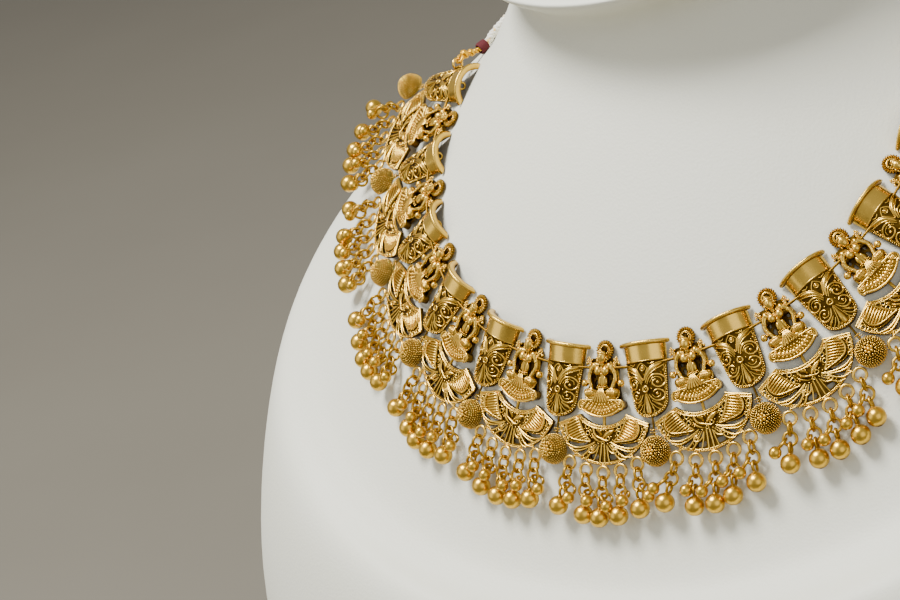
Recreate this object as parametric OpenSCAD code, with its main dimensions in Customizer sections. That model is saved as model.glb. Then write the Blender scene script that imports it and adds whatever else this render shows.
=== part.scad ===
// Temple jewellery necklace lying on a plain neck bust.
// Arch plates and goddess units alternate round a tilted circle, with bead fringes below.
// Local frame of every metal piece: x along the line, y up, z out, back face at z = 0.

/* [Necklace line] */
// radius of the circle that the top edges of the metal pieces follow
line_r = 73.5; // [60:0.5:90]
// how far the circle is tipped down at the front
line_tilt = 36; // [25:1:45]
// height of the circle's centre above the base
line_height = 214; // [180:1:240]
// angle between the front piece and the plane of the circle
lean_front = 27; // [15:1:40]
// how much less the end pieces lean
lean_loss = 12; // [0:1:20]
// gap between the line on the bust and the back of the metal
stand_off = 0.7; // [0.5:0.1:2]
// number of arch plates, one more than the goddess units
plate_count = 12; // [8:2:14]

/* [Arch plates] */
// width of the plate's panel at the top
plate_width = 12.4; // [9:0.1:16]
// height of the arch above the back of the plate
arch_height = 4; // [2.5:0.1:6]
// length of the plate from rim to tip
plate_length = 18.6; // [14:0.1:24]
// radius of the rounded tip
tip_r = 4.5; // [3:0.1:6]
// slope of the arch towards the tip
arch_slope = 8.5; // [4:0.5:14]
// wall of the hollow plate
plate_wall = 0.8; // [0.5:0.1:1.5]
// depth of the smooth band
band_width = 4.2; // [2:0.1:6]
// height of the raised ornament on the panel
relief = 0.45; // [0.2:0.05:1]
// how far the rim stands out beyond the panel
rim_flare = 0.95; // [0.3:0.05:1.5]
// thickness of the rim
rim_thick = 0.8; // [0.4:0.1:1.5]

/* [Domes] */
// radius of the granulated dome
dome_r = 4.05; // [3:0.05:5]
// distance of the dome's centre below the line
dome_drop = 28; // [24:0.1:34]

/* [Goddess units] */
// radius of the halo
halo_r = 2.4; // [1.5:0.1:3.5]
// width of the lotus seat
seat_width = 13.8; // [10:0.1:16]
// height of the seat's rim above the back
seat_rise = 2.6; // [1.5:0.1:4]
// thickness of the back plate behind the figure
back_thick = 0.7; // [0.4:0.1:1.5]

/* [Fans] */
// width of the fan from corner to corner
fan_width = 28.1; // [22:0.1:32]
// gap between the corners of neighbouring fans
fan_gap = 1; // [0.4:0.1:3]
// distance of the fan's corners below the line
fan_drop = 18.7; // [16:0.1:24]
// radius of the fan's outer edge
fan_r = 14; // [12:0.1:18]
// thickness of the fan plate
fan_thick = 0.9; // [0.6:0.1:2]
// width of the fan's raised rim
fan_rim = 0.75; // [0.4:0.05:1.5]

/* [Bead fringe] */
// radius of the rings in the fringe, to the middle of the wire
ring_r = 1.6; // [1.1:0.05:2]
// thickness of the ring wire
ring_wire = 0.64; // [0.4:0.02:0.8]
// free gap between wires that are linked
link_gap = 0.2; // [0.1:0.01:0.4]
// diameter of the large beads
bead_d = 5.3; // [3.5:0.1:5.4]
// diameter of the small beads
small_bead_d = 3.4; // [2:0.1:3.6]
// hole in the large beads
bead_hole = 1.3; // [0.8:0.1:2]

/* [Stringing] */
// thickness of the hidden stringing wire
wire_d = 0.8; // [0.4:0.1:1]
// free gap around the stringing wire in its holes
wire_gap = 0.25; // [0.1:0.05:0.5]
// distance of the stringing wire below the line
wire_drop = 5.2; // [4:0.1:7]
// height of the stringing wire above the back of the metal
wire_rise = 1.3; // [1:0.1:2]
// thickness of the white neck cord
cord_d = 2.6; // [1.5:0.1:4]
// thickness of the gold thread ends
gold_thread_d = 2; // [1:0.1:3]
// thickness of the red bindings
binding_d = 4; // [3:0.1:6]
// length of the red bindings
binding_length = 3; // [2:0.1:5]

/* [Bust] */
// height of the bust at the middle of the neck opening
bust_height = 272; // [250:1:300]
// width of the bust across the shoulders
bust_width = 338; // [300:1:380]
// depth of the bust from back to chest
bust_depth = 204; // [170:1:240]
// how far the chest row lies down the slope below the line
chest_run = 66; // [50:1:80]
// how far the shoulder row lies outside the line
shoulder_run = 51.5; // [40:0.5:70]
// how far the shoulder row lies below the line at the sides
shoulder_drop = 39.6; // [25:0.1:60]
// sides of the bust's cross section
bust_sides = 56; // [24:4:64]
// rings between two rows of the bust's table
bust_steps = 4; // [2:1:6]

/* [Hidden] */
$fn = 48;

// Angle between a plate and the next goddess unit, from the width of the fans.
fan_reach = line_r + cos(lean_front) * fan_drop;
step = atan((fan_width + fan_gap) / 2 / fan_reach);
end_phi = step * (plate_count - 1);
unit_count = plate_count - 1;

// Arch cylinder through the plate's foot corners and its top.
arch_r = (pow(plate_width / 2, 2) + pow(arch_height, 2)) / (2 * arch_height);
arch_axis = arch_height - arch_r;

// Rings of the fringe: each hangs in the one before it, a wire and a gap lower.
wire_r = ring_wire / 2;
link_step = ring_wire + link_gap;
hole_r = wire_d / 2 + wire_gap;

// Fan centre above the bottom of its edge, and the circle of its inner edge.
fan_y = -17;
inner_y = -9.5;
inner_r = 9.7;
seat_y = -13;

// How far each fringe swings from its unit's own axis towards the ground, chosen by eye.
swing = [14, 4, 16, 16, 8, 0, -14, -16, -16, -6, -14];

function rx(a, p) = [p.x, p.y * cos(a) - p.z * sin(a), p.y * sin(a) + p.z * cos(a)];
function rz(a, p) = [p.x * cos(a) - p.y * sin(a), p.x * sin(a) + p.y * cos(a), p.z];
function lean(phi) = lean_front - lean_loss * pow(phi / end_phi, 2);
function plate_phi(i) = (2 * i - 1 - plate_count) * step;
function unit_phi(i) = (2 * i - plate_count) * step;

// A local point of a piece at the angle phi, in the frame of the whole part.
function at_line(phi, p) =
    [0, 0, line_height]
    + rx(line_tilt, rz(phi, [0, -line_r, 0] + rx(lean(phi), p + [0, 0, stand_off])));

module on_line(phi)
    translate([0, 0, line_height])
        rotate([line_tilt, 0, 0])
            rotate([0, 0, phi])
                translate([0, -line_r, 0])
                    rotate([lean(phi), 0, 0])
                        translate([0, 0, stand_off])
                            children();

// Everything in front of the back face.
module front_half(size = 80)
    translate([-size / 2, -size / 2, 0])
        cube([size, size, size]);

module mirrored() {
    children();
    mirror([1, 0, 0]) children();
}

// A round bar between two points.
module bar(a, b, r) {
    d = b - a;
    translate(a)
        rotate([0, acos(d.z / norm(d)), atan2(d.y, d.x)])
            cylinder(r = r, h = norm(d), $fn = 24);
}

module ring(r, wire)
    rotate_extrude($fn = 36)
        translate([r, 0])
            circle(r = wire, $fn = 16);

// Bust.

// Rows of the bust from neck opening to base: half width, half depth, centre y,
// centre height, and how far the front hangs below that centre.
half_w = bust_width / 2;
half_d = bust_depth / 2;
line_b = line_r * cos(line_tilt);
line_h = line_r * sin(line_tilt);
shoulder_back = -0.15 * half_d;
chest_z = line_height - line_h - chest_run * sin(line_tilt + lean_front);
chest_y = line_b + chest_run * cos(line_tilt + lean_front);
shoulder_z = line_height - shoulder_drop;
bust_rows = [
    [0.33 * half_w, 0.48 * half_d, 0.17 * half_d, bust_height, 0.15 * half_d],
    [0.295 * half_w, 0.46 * half_d, 0.265 * half_d, 0.956 * bust_height, 0.215 * half_d],
    [line_r + 0.8, line_b + 0.6, 1.2, line_height + 0.6, line_h - 0.6],
    [line_r + shoulder_run, chest_y + shoulder_back, shoulder_back, shoulder_z,
        shoulder_z - chest_z],
    [0.846 * half_w, 0.9 * half_d, -0.157 * half_d, 0.592 * bust_height, 0.525 * half_d],
    [half_w, half_d, -0.147 * half_d, 0.294 * bust_height, 0.33 * half_d],
    [0.834 * half_w, 0.863 * half_d, -0.05 * half_d, 0, 0]
];
last_row = len(bust_rows) - 1;

function row(k) =
    k < 0 ? 2 * bust_rows[0] - bust_rows[1] :
    k > last_row ? 2 * bust_rows[last_row] - bust_rows[last_row - 1] :
    bust_rows[k];

// Smooth curve through the rows.
function blend(a, b, c, d, u) =
    (2 * b + (c - a) * u + (2 * a - 5 * b + 4 * c - d) * pow(u, 2)
    + (3 * b - a - 3 * c + d) * pow(u, 3)) / 2;
function bust_row(t) =
    let (k = min(floor(t), last_row - 1))
    blend(row(k - 1), row(k), row(k + 1), row(k + 2), t - k);
function bust_point(r, phi) =
    [r[0] * sin(phi), r[2] - r[1] * cos(phi), r[3] - r[4] * cos(phi)];
function bust_ring(r) =
    [for (k = [0 : bust_sides - 1]) bust_point(r, 360 * k / bust_sides)];

// The neck opening's edge is rounded by one smaller ring on top.
edge_round = 1.5;
opening = bust_rows[0];
opening_row = [opening[0] - 2 * edge_round, opening[1] - 2 * edge_round, opening[2],
    opening[3] + edge_round, opening[4]];
ring_total = last_row * bust_steps + 2;
bust_points = concat(
    bust_ring(opening_row),
    [for (i = [0 : ring_total - 2]) each bust_ring(bust_row(i / bust_steps))]
);

function skin_faces(rings, sides) =
    [for (i = [0 : rings - 2], k = [0 : sides - 1])
        let (a = i * sides + k, b = i * sides + (k + 1) % sides)
        each [[a, b, b + sides], [a, b + sides, a + sides]]];
function cap_faces(rings, sides) = [
    [for (k = [sides - 1 : -1 : 0]) k],
    [for (k = [0 : sides - 1]) (rings - 1) * sides + k]
];

// The whole part is moved so that the middle of the bust's box is over the origin.
bust_ys = [for (p = bust_points) p.y];
centre_y = (min(bust_ys) + max(bust_ys)) / 2;

module centred()
    translate([0, -centre_y, 0])
        children();

module neck_bust()
    color([0.86, 0.86, 0.83])
        polyhedron(
            bust_points,
            concat(skin_faces(ring_total, bust_sides), cap_faces(ring_total, bust_sides))
        );

// Arch plates.

// The arch as a solid round bar that slopes down to the tip.
module arch_bar(grow, from, length)
    translate([0, 0, arch_axis])
        rotate([90 + arch_slope, 0, 0])
            translate([0, 0, from])
                cylinder(r = arch_r + grow, h = length, $fn = 96);

module plate_outline(inset = 0) {
    tip_y = tip_r + rim_thick - plate_length;
    translate([-plate_width, tip_y])
        square([2 * plate_width, plate_length]);
    translate([0, tip_y])
        circle(r = tip_r - inset, $fn = 48);
}

// Ornament of the panel: a flower of volutes and leaves round a small ring.
module volute(x, y, r) {
    translate([x, y]) {
        difference() {
            circle(r = r, $fn = 32);
            circle(r = r * 0.72, $fn = 32);
        }
        circle(r = r * 0.36, $fn = 24);
    }
}

module leaf(x, y, angle, length, width) {
    arc = (length * length / 4 + width * width / 4) / width;
    translate([x, y])
        rotate(angle)
            intersection() {
                translate([0, arc - width / 2])
                    circle(r = arc, $fn = 64);
                translate([0, width / 2 - arc])
                    circle(r = arc, $fn = 64);
            }
}

module panel_ornament() {
    volute(0.1, -10.9, 1.05);
    leaf(0.1, -14.1, 90, 4.6, 1.5);
    polygon([[-1.3, -5.2], [0, -3.6], [1.3, -5.2], [0, -8.4]]);
    for (s = [-1, 1]) {
        volute(s * 3.1, -9.2, 1.7);
        volute(s * 2.5, -12.5, 1.35);
        leaf(s * 3, -6.3, s * 42, 6.4, 1.1);
        leaf(s * 2.6, -15, s * -32, 2.6, 0.9);
    }
}

module plate_body() {
    hole_z = wire_rise;
    difference() {
        union() {
            intersection() {
                arch_bar(0, -rim_thick, plate_length * 1.1);
                linear_extrude(2 * arch_height) plate_outline();
            }
            intersection() {
                arch_bar(relief, 0, plate_length);
                linear_extrude(2 * arch_height) panel_ornament();
            }
            arch_bar(relief * 0.8, 0, band_width);
            arch_bar(rim_flare, -rim_thick, rim_thick);
        }
        arch_bar(-plate_wall, -3, plate_length + 4.5 - plate_wall);
        translate([-40, -40, -40]) cube([80, 80, 40]);
        translate([-plate_width, -wire_drop, hole_z])
            rotate([0, 90, 0])
                cylinder(r = hole_r, h = 2 * plate_width, $fn = 24);
    }
}

// Dome with a rosette, on a stem soldered behind the plate's tip.
module dome() {
    sink = dome_r * 0.2;
    translate([0, -dome_drop, 0]) {
        intersection() {
            translate([0, 0, sink]) sphere(r = dome_r, $fn = 64);
            front_half();
        }
        translate([0, 0, dome_r + sink - 0.35]) {
            ring(1.2, 0.3);
            sphere(r = 0.6, $fn = 24);
        }
    }
    stem_top = plate_length - rim_thick - 1.2;
    translate([-0.22, -dome_drop, 0.1])
        cube([0.44, dome_drop - stem_top, 1]);
}

module arch_plate(i)
    color([0.78, 0.6, 0.3])
        on_line(plate_phi(i)) {
            plate_body();
            dome();
        }

// Goddess units.

module halo() {
    teeth = 26;
    points = [for (k = [0 : 2 * teeth - 1])
        let (r = k % 2 == 0 ? halo_r : halo_r * 0.88)
        [r * cos(180 * k / teeth), r * sin(180 * k / teeth)]];
    translate([0, -0.2, 0.2]) {
        linear_extrude(0.8) polygon(points);
        ring(halo_r * 0.62, 0.9);
    }
}

module figure() {
    halo();
    translate([0, -1.3, 1.5]) sphere(r = 1, $fn = 24);
    bar([0, -2, 1], [0, -9.5, 1], 1.15);
    translate([0, -11.8, 1.5]) sphere(r = 1.1, $fn = 24);
    mirrored() {
        translate([1.25, -4.9, 1.5]) sphere(r = 0.95, $fn = 24);
        bar([1, -4.1, 1.1], [3.5, -4.7, 1.2], 0.65);
        bar([3.5, -4.7, 1.2], [3.8, -6.6, 1.3], 0.65);
        bar([3.8, -6.6, 1.3], [3.3, -9.4, 1.4], 0.65);
        translate([3.5, -4.7, 1.2]) sphere(r = 0.75, $fn = 24);
        translate([3.8, -6.6, 1.3]) sphere(r = 0.75, $fn = 24);
        bar([1.4, -4.2, 0.9], [4.2, -3, 1], 0.45);
        translate([4.3, -2.8, 0.4]) cylinder(r = 0.85, h = 1.2, $fn = 24);
        translate([5.1, -8, 1]) sphere(r = 0.9, $fn = 24);
        bar([3.6, -7.8, 1], [5.1, -8, 1], 0.4);
        translate([3.6, -10.5, 1.4]) sphere(r = 1.35, $fn = 32);
        bar([3.6, -10.5, 1.4], [0, -11.8, 1.5], 1.1);
    }
}

module stringing_tube()
    translate([-3.9, -wire_drop, wire_rise])
        rotate([0, 90, 0])
            cylinder(r = hole_r + 0.4, h = 7.8, $fn = 24);

module back_plate()
    linear_extrude(back_thick)
        difference() {
            polygon([[-3.6, -4], [3.6, -4], [4.4, -9], [5.6, -12.6], [-5.6, -12.6], [-4.4, -9]]);
            for (s = [-1, 1])
                translate([s * 2.25, -8]) circle(r = 0.75, $fn = 24);
        }

// Crescent seat with round ends, granules inside its rim and a peg to the fan below.
module seat_outline(inset) {
    half = seat_width / 2 - 1.3;
    sweep = 9.4;
    intersection() {
        translate([0, seat_y + 5.6]) circle(r = sweep - inset, $fn = 96);
        translate([-half, seat_y - 5]) square([2 * half, 5.6 - inset]);
    }
    for (s = [-1, 1])
        translate([s * half, seat_y - 0.7]) circle(r = 1.3 - inset, $fn = 32);
}

module seat() {
    linear_extrude(seat_rise - 0.4) seat_outline(0);
    linear_extrude(seat_rise)
        difference() {
            seat_outline(0);
            seat_outline(0.5);
        }
    for (k = [-3 : 3])
        translate([9 * 1.9 * k / 17, seat_y - 2.4 + 0.12 * k * k, seat_rise - 0.45])
            sphere(r = 0.45, $fn = 20);
    translate([0, seat_y - 0.6, seat_rise - 0.4])
        linear_extrude(0.8)
            polygon([[-1.2, 2], [1.2, 2], [2.2, 0], [-2.2, 0]]);
    translate([-0.2, fan_y - 3, 0.1]) cube([0.8, 4, 1.2]);
}

// Fans.

module fan_outline(inset) {
    corner = fan_width / 2;
    difference() {
        intersection() {
            translate([0, fan_y]) circle(r = fan_r - inset, $fn = 128);
            polygon([
                [-7, -16.2 - inset], [7, -16.2 - inset], [corner - inset, -fan_drop - inset],
                [corner, -40], [-corner, -40], [inset - corner, -fan_drop - inset]
            ]);
        }
        translate([0, inner_y]) circle(r = inner_r + inset, $fn = 96);
    }
}

module fan_gaps() {
    mirrored() {
        polygon([[4.9, -24.3], [8, -25], [11, -24.5], [10.3, -25.6], [8, -26], [6, -25.4]]);
        polygon([[5, -25.7], [7.5, -27], [9, -26.9], [8, -27.9], [6.4, -27.5]]);
        translate([4.8, -19.9]) circle(r = 0.5, $fn = 20);
        translate([12.4, -20.9]) circle(r = 0.45, $fn = 20);
    }
    polygon([[-3.1, -28], [-0.7, -28], [-0.9, -29.4], [-2.7, -29.2]]);
    polygon([[1.4, -28], [3.8, -28], [3.4, -29.2], [1.7, -29.4]]);
}

module paisley_outline()
    polygon([
        [7.5, -17.5], [9, -17.3], [10.4, -17.7], [11.2, -18.9], [11.4, -20.4], [11, -22],
        [9.9, -23.1], [8.3, -23.6], [6, -23.8], [4.1, -23.5], [5, -22], [6, -20.4], [6.8, -18.8]
    ]);

module paisley() {
    linear_extrude(fan_thick + 0.7) paisley_outline();
    intersection() {
        linear_extrude(fan_thick + 1.05) paisley_outline();
        for (k = [0 : 8])
            translate([3.4 + 0.55 * k, -24 + 0.72 * k, 0])
                rotate([0, 0, -20])
                    cube([9, 0.38, 4]);
    }
}

module fan_centre() {
    h = fan_thick + 0.5;
    linear_extrude(h) {
        polygon([[0.2, -23], [1, -21.3], [2.6, -20.5], [3.9, -20.6], [3.2, -22], [1.8, -23]]);
        polygon([[-3, -19.9], [-2, -21.8], [0, -22.8], [0, -23.4], [-2.4, -22.4], [-3.6, -20.3]]);
        polygon([[0, -23], [-0.5, -24.5], [-4, -26.5], [-5.6, -29.2], [-4.8, -29.4], [-3, -27], [0, -25]]);
        polygon([[0.7, -22.6], [0.6, -25], [3.4, -27], [5, -29.4], [5.8, -29.2], [4.2, -26.4], [1.2, -24.4]]);
        translate([-0.25, -30.6]) square([0.6, 6]);
        leaf(7.2, -24.3, -12, 7, 0.6);
        leaf(-7.2, -24.3, 12, 7, 0.6);
    }
}

module fan() {
    linear_extrude(fan_thick)
        difference() {
            fan_outline(0);
            fan_gaps();
        }
    linear_extrude(fan_thick + 0.45)
        difference() {
            fan_outline(0);
            fan_outline(fan_rim);
        }
    mirrored() paisley();
    fan_centre();
}

// Five eye rings, each soldered to the fan's edge by a short lug.
eye_x = [-10.5, -5.4, 0, 5.4, 10.5];
eye_reach = [1.4, 0.6, 0.4, 0.6, 1.4];
eye_z = fan_thick + 0.1;
function eye_point(k) =
    let (x = eye_x[k], r = fan_r + ring_r + eye_reach[k])
    [x, fan_y - sqrt(r * r - x * x), eye_z];

module eyes()
    for (k = [0 : 4]) {
        fan_centre = [0, fan_y, eye_z];
        out = unit(eye_point(k) - fan_centre);
        translate(eye_point(k)) ring(ring_r, wire_r);
        bar(
            fan_centre + out * (fan_r - 0.6) - [0, 0, 0.4],
            eye_point(k) - out * ring_r,
            0.4
        );
    }

module goddess_unit(i)
    color([0.8, 0.62, 0.32])
        on_line(unit_phi(i))
            difference() {
                union() {
                    intersection() {
                        union() {
                            figure();
                            stringing_tube();
                        }
                        front_half();
                    }
                    back_plate();
                    seat();
                    fan();
                    eyes();
                }
                translate([-10, -wire_drop, wire_rise])
                    rotate([0, 90, 0])
                        cylinder(r = hole_r, h = 20, $fn = 24);
            }

// Bead fringe.

// One drop below an eye: link, ring, large bead on a loop, small bead on a loop.
chain_z = 0.6;
link_y = 2 * ring_r - link_step;
front_ring_y = link_y + 2 * ring_r - link_step;
loop_top = front_ring_y + ring_r - link_step;
loop_r = ring_r * 0.9;
bead_y = loop_top + 2 * loop_r + bead_d / 2 - wire_r;
bead_z = bead_d / 2 - 0.15 - eye_z;

module large_bead() {
    difference() {
        translate([0, -bead_y, bead_z]) sphere(d = bead_d, $fn = 48);
        translate([0, 1 - bead_y, bead_z])
            rotate([90, 0, 0])
                cylinder(d = bead_hole, h = bead_d, $fn = 24);
    }
    translate([0, -loop_top - loop_r, chain_z])
        rotate([0, 90, 0]) ring(loop_r, wire_r);
}

// Small beads ride in front of the gaps between the large ones: offset to the side,
// height above the large bead's centre, and distance in front of the eye rings.
small_offset = [[2.4, 4.3, 3.2], [2.8, 4.3, 2.8], [2.4, 4.5, 3], [1.8, 4.9, 3.3], [3, 4.3, 2.7]];
hook_angle = 20;

module small_bead(k) {
    place = [small_offset[k].x, small_offset[k].y - bead_y, small_offset[k].z];
    hook = [ring_r * cos(hook_angle), -front_ring_y - ring_r * sin(hook_angle), chain_z];
    along = [-sin(hook_angle), -cos(hook_angle), 0];
    span = norm(place - hook);
    u = (place - hook) / span;
    w = unit(cross(along, u));
    n = cross(u, w);
    loop = (span - small_bead_d / 2 + link_step + wire_r) / 2;
    centre = hook + u * (loop - link_step);
    multmatrix([
        [u.x, w.x, n.x, centre.x], [u.y, w.y, n.y, centre.y], [u.z, w.z, n.z, centre.z],
        [0, 0, 0, 1]
    ]) {
        ring(loop, wire_r);
        translate([norm(place - centre), 0, 0]) sphere(d = small_bead_d, $fn = 32);
    }
}

module drop(k) {
    translate([0, -link_y, chain_z / 2])
        rotate([0, 90, 0]) ring(ring_r, wire_r);
    translate([0, -front_ring_y, chain_z]) ring(ring_r, wire_r);
    large_bead();
    small_bead(k);
}

module bead_fringe(i) {
    lean = swing[(i - 1) % len(swing)];
    side = lean < 0 ? 1 : 0;
    color([0.85, 0.65, 0.33])
        on_line(unit_phi(i))
            mirror([side, 0, 0])
                for (k = [0 : 4])
                    translate(eye_point(k))
                        rotate([0, 0, abs(lean)])
                            drop(k);
}

// Hidden stringing wire through all the metal pieces, with a ring at each end.
tube_half = 3.9;
plate_half = 4.8;
end_ring = [6.6, -8, 1.9];

function passes(phi, half) =
    [for (s = [-1, 1]) at_line(phi, [s * half, -wire_drop, wire_rise])];
function mirror_all(list) = [for (k = [len(list) - 1 : -1 : 0])
    [-list[k].x, list[k].y, list[k].z]];

wire_end = [
    at_line(plate_phi(1), [-end_ring.x + ring_r, end_ring.y, end_ring.z]),
    at_line(plate_phi(1), [-5.7, -wire_drop - 1.6, 1.7]),
    at_line(plate_phi(1), [-5.7, -wire_drop - 0.3, wire_rise])
];
wire_route = concat(
    wire_end,
    [for (i = [1 : plate_count])
        each concat(
            passes(plate_phi(i), plate_half),
            i < plate_count ? passes(unit_phi(i), tube_half) : []
        )],
    mirror_all(wire_end)
);

// A tube swept along a route.
function unit(v) = v / norm(v);
function heading(route, i) =
    unit(route[min(i + 1, len(route) - 1)] - route[max(i - 1, 0)]);
function tube_points(route, r, sides) =
    [for (i = [0 : len(route) - 1])
        let (t = heading(route, i), a = unit(cross(t, [0.05, 0.1, 1])), b = cross(a, t))
        for (k = [0 : sides - 1])
            route[i] + r * (a * cos(360 * k / sides) + b * sin(360 * k / sides))];

module tube(route, d, sides = 8)
    polyhedron(
        tube_points(route, d / 2, sides),
        concat(skin_faces(len(route), sides), cap_faces(len(route), sides))
    );

module stringing_wire()
    color([0.7, 0.55, 0.28]) {
        tube(wire_route, wire_d);
        for (i = [1, plate_count])
            on_line(plate_phi(i))
                translate([i == 1 ? -end_ring.x : end_ring.x, end_ring.y, end_ring.z])
                    rotate([90, 0, 0]) ring(ring_r, 0.4);
    }

// Neck cord: gold thread looped through the end ring, a red binding over the joint,
// and the white cord behind the neck. These points are the left half of its route.
knot_at = [-78, 20.5, 229];
gold_bend = [-76.6, 23, 228.6];
binding_from = [-75.6, 24.8, 228.6];
binding_to = [-74.2, 27.4, 229.4];
cord_points = [
    [-72.5, 31, 232], [-68.5, 35.5, 235.5], [-64.5, 38.5, 238.5], [-57, 45.5, 242.5],
    [-43, 53.5, 247.5], [-22.5, 60, 251.5], [0, 62, 253]
];
cord_steps = 3;
knot_r = 1.5;

joint = (binding_from + binding_to) / 2;
cord_half = concat([joint, binding_to], cord_points);
cord_key = concat(cord_half, mirror_all([for (k = [0 : len(cord_half) - 2]) cord_half[k]]));
cord_last = len(cord_key) - 1;
function key(k) = cord_key[max(0, min(cord_last, k))];
cord_route = concat(
    [for (i = [0 : cord_last - 1], u = [0 : cord_steps - 1])
        blend(key(i - 1), key(i), key(i + 1), key(i + 2), u / cord_steps)],
    [key(cord_last)]
);

module neck_cord()
    color([0.85, 0.83, 0.76]) tube(cord_route, cord_d);

module gold_thread() {
    loop_ring = ring_r * 0.8;
    loop_wire = gold_thread_d / 4;
    reach = 0.4 + loop_wire + wire_gap;
    color([0.85, 0.62, 0.1]) {
        tube([knot_at, gold_bend, binding_from, joint], gold_thread_d);
        translate(knot_at) sphere(r = knot_r, $fn = 24);
        on_line(plate_phi(1))
            translate([reach - loop_ring - end_ring.x - ring_r, end_ring.y, end_ring.z])
                ring(loop_ring, loop_wire);
    }
}

module red_binding() {
    axis = binding_to - binding_from;
    color([0.45, 0.05, 0.08])
        translate(joint - unit(axis) * binding_length / 2)
            rotate([0, acos(axis.z / norm(axis)), atan2(axis.y, axis.x)])
                difference() {
                    cylinder(d = binding_d, h = binding_length, $fn = 32);
                    translate([0, 0, -1])
                        cylinder(d = cord_d + 0.2, h = binding_length + 2, $fn = 32);
                }
}

centred() neck_bust();
for (i = [1 : plate_count])
    centred() arch_plate(i);
for (i = [1 : unit_count])
    centred() goddess_unit(i);
for (i = [1 : unit_count])
    centred() bead_fringe(i);
centred() stringing_wire();
centred() neck_cord();
centred() gold_thread();  // gold_thread_left
mirror([1, 0, 0]) centred() gold_thread();  // gold_thread_right
centred() red_binding();  // red_binding_left
mirror([1, 0, 0]) centred() red_binding();  // red_binding_right
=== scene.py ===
from math import acos, atan, cos, degrees, pi, radians, sin, sqrt, tan

import bmesh
import bpy
import numpy as np
from mathutils import Matrix, Vector
from mathutils.geometry import tessellate_polygon


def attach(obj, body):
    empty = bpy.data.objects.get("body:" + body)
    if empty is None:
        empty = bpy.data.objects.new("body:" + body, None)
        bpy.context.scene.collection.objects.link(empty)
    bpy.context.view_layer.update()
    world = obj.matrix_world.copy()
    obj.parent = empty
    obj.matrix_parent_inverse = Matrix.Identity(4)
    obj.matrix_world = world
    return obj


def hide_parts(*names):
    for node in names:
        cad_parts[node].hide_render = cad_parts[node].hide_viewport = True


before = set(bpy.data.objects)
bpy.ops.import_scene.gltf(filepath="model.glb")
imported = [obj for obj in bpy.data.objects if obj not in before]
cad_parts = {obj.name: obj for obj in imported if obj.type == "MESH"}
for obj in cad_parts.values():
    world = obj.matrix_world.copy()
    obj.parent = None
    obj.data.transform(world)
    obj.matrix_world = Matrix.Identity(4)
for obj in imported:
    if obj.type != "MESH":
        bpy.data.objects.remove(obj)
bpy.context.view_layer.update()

# Sizes in millimetres, as in the part's source.
LINE_R, LINE_TILT, LINE_HEIGHT = 73.5, radians(36), 214
LEAN_FRONT, LEAN_LOSS, STAND_OFF = 27, 12, 0.7
PLATES, UNITS = 12, 11
FAN_WIDTH, FAN_GAP, FAN_DROP = 28.1, 1.0, 18.7
STEP = atan((FAN_WIDTH + FAN_GAP) / 2 / (LINE_R + cos(radians(LEAN_FRONT)) * FAN_DROP))
END_PHI = STEP * (PLATES - 1)
RING_R, WIRE_R, LINK_GAP = 1.6, 0.32, 0.2
BEAD_R, SMALL_R, BEAD_HOLE = 2.65, 1.7, 0.65
SWING = [14, 4, 16, 16, 8, 0, -14, -16, -16, -6, -14]

# The bust's rows, from the neck opening down: half width, half depth, centre y,
# centre height and how far the front hangs below it.
HALF_W, HALF_D, BUST_H = 169, 102, 272
LINE_B, LINE_H = LINE_R * cos(LINE_TILT), LINE_R * sin(LINE_TILT)
CHEST_Z = LINE_HEIGHT - LINE_H - 66 * sin(radians(63))
CHEST_Y = LINE_B + 66 * cos(radians(63))
SHOULDER_Z = LINE_HEIGHT - 39.6
BUST_ROWS = np.array([
    [0.33 * HALF_W, 0.48 * HALF_D, 0.17 * HALF_D, BUST_H, 0.15 * HALF_D],
    [0.295 * HALF_W, 0.46 * HALF_D, 0.265 * HALF_D, 0.956 * BUST_H, 0.215 * HALF_D],
    [LINE_R + 0.8, LINE_B + 0.6, 1.2, LINE_HEIGHT + 0.6, LINE_H - 0.6],
    [LINE_R + 51.5, CHEST_Y - 0.15 * HALF_D, -0.15 * HALF_D, SHOULDER_Z, SHOULDER_Z - CHEST_Z],
    [0.846 * HALF_W, 0.9 * HALF_D, -0.157 * HALF_D, 0.592 * BUST_H, 0.525 * HALF_D],
    [HALF_W, HALF_D, -0.147 * HALF_D, 0.294 * BUST_H, 0.33 * HALF_D],
    [0.834 * HALF_W, 0.863 * HALF_D, -0.05 * HALF_D, 0, 0],
])


def blend(a, b, c, d, u):
    return (2 * b + (c - a) * u + (2 * a - 5 * b + 4 * c - d) * u**2
            + (3 * b - a - 3 * c + d) * u**3) / 2


def bust_row(t):
    rows = BUST_ROWS
    keys = np.vstack([2 * rows[0] - rows[1], rows, 2 * rows[-1] - rows[-2]])
    k = min(int(t), len(rows) - 2)
    return blend(keys[k], keys[k + 1], keys[k + 2], keys[k + 3], t - k)


def bust_ring(row, sides):
    phi = np.arange(sides) * 2 * pi / sides
    return np.stack([row[0] * np.sin(phi), row[2] - row[1] * np.cos(phi),
                     row[3] - row[4] * np.cos(phi)], 1)


COARSE = np.vstack([bust_ring(bust_row(i / 4), 56) for i in range(25)])
CENTRE_Y = (COARSE[:, 1].min() + COARSE[:, 1].max()) / 2


def rot_x(a):
    return np.array([[1, 0, 0], [0, cos(a), -sin(a)], [0, sin(a), cos(a)]])


def rot_z(a):
    return np.array([[cos(a), -sin(a), 0], [sin(a), cos(a), 0], [0, 0, 1]])


def plate_phi(i):
    return (2 * i - 1 - PLATES) * STEP


def unit_phi(i):
    return (2 * i - PLATES) * STEP


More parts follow.
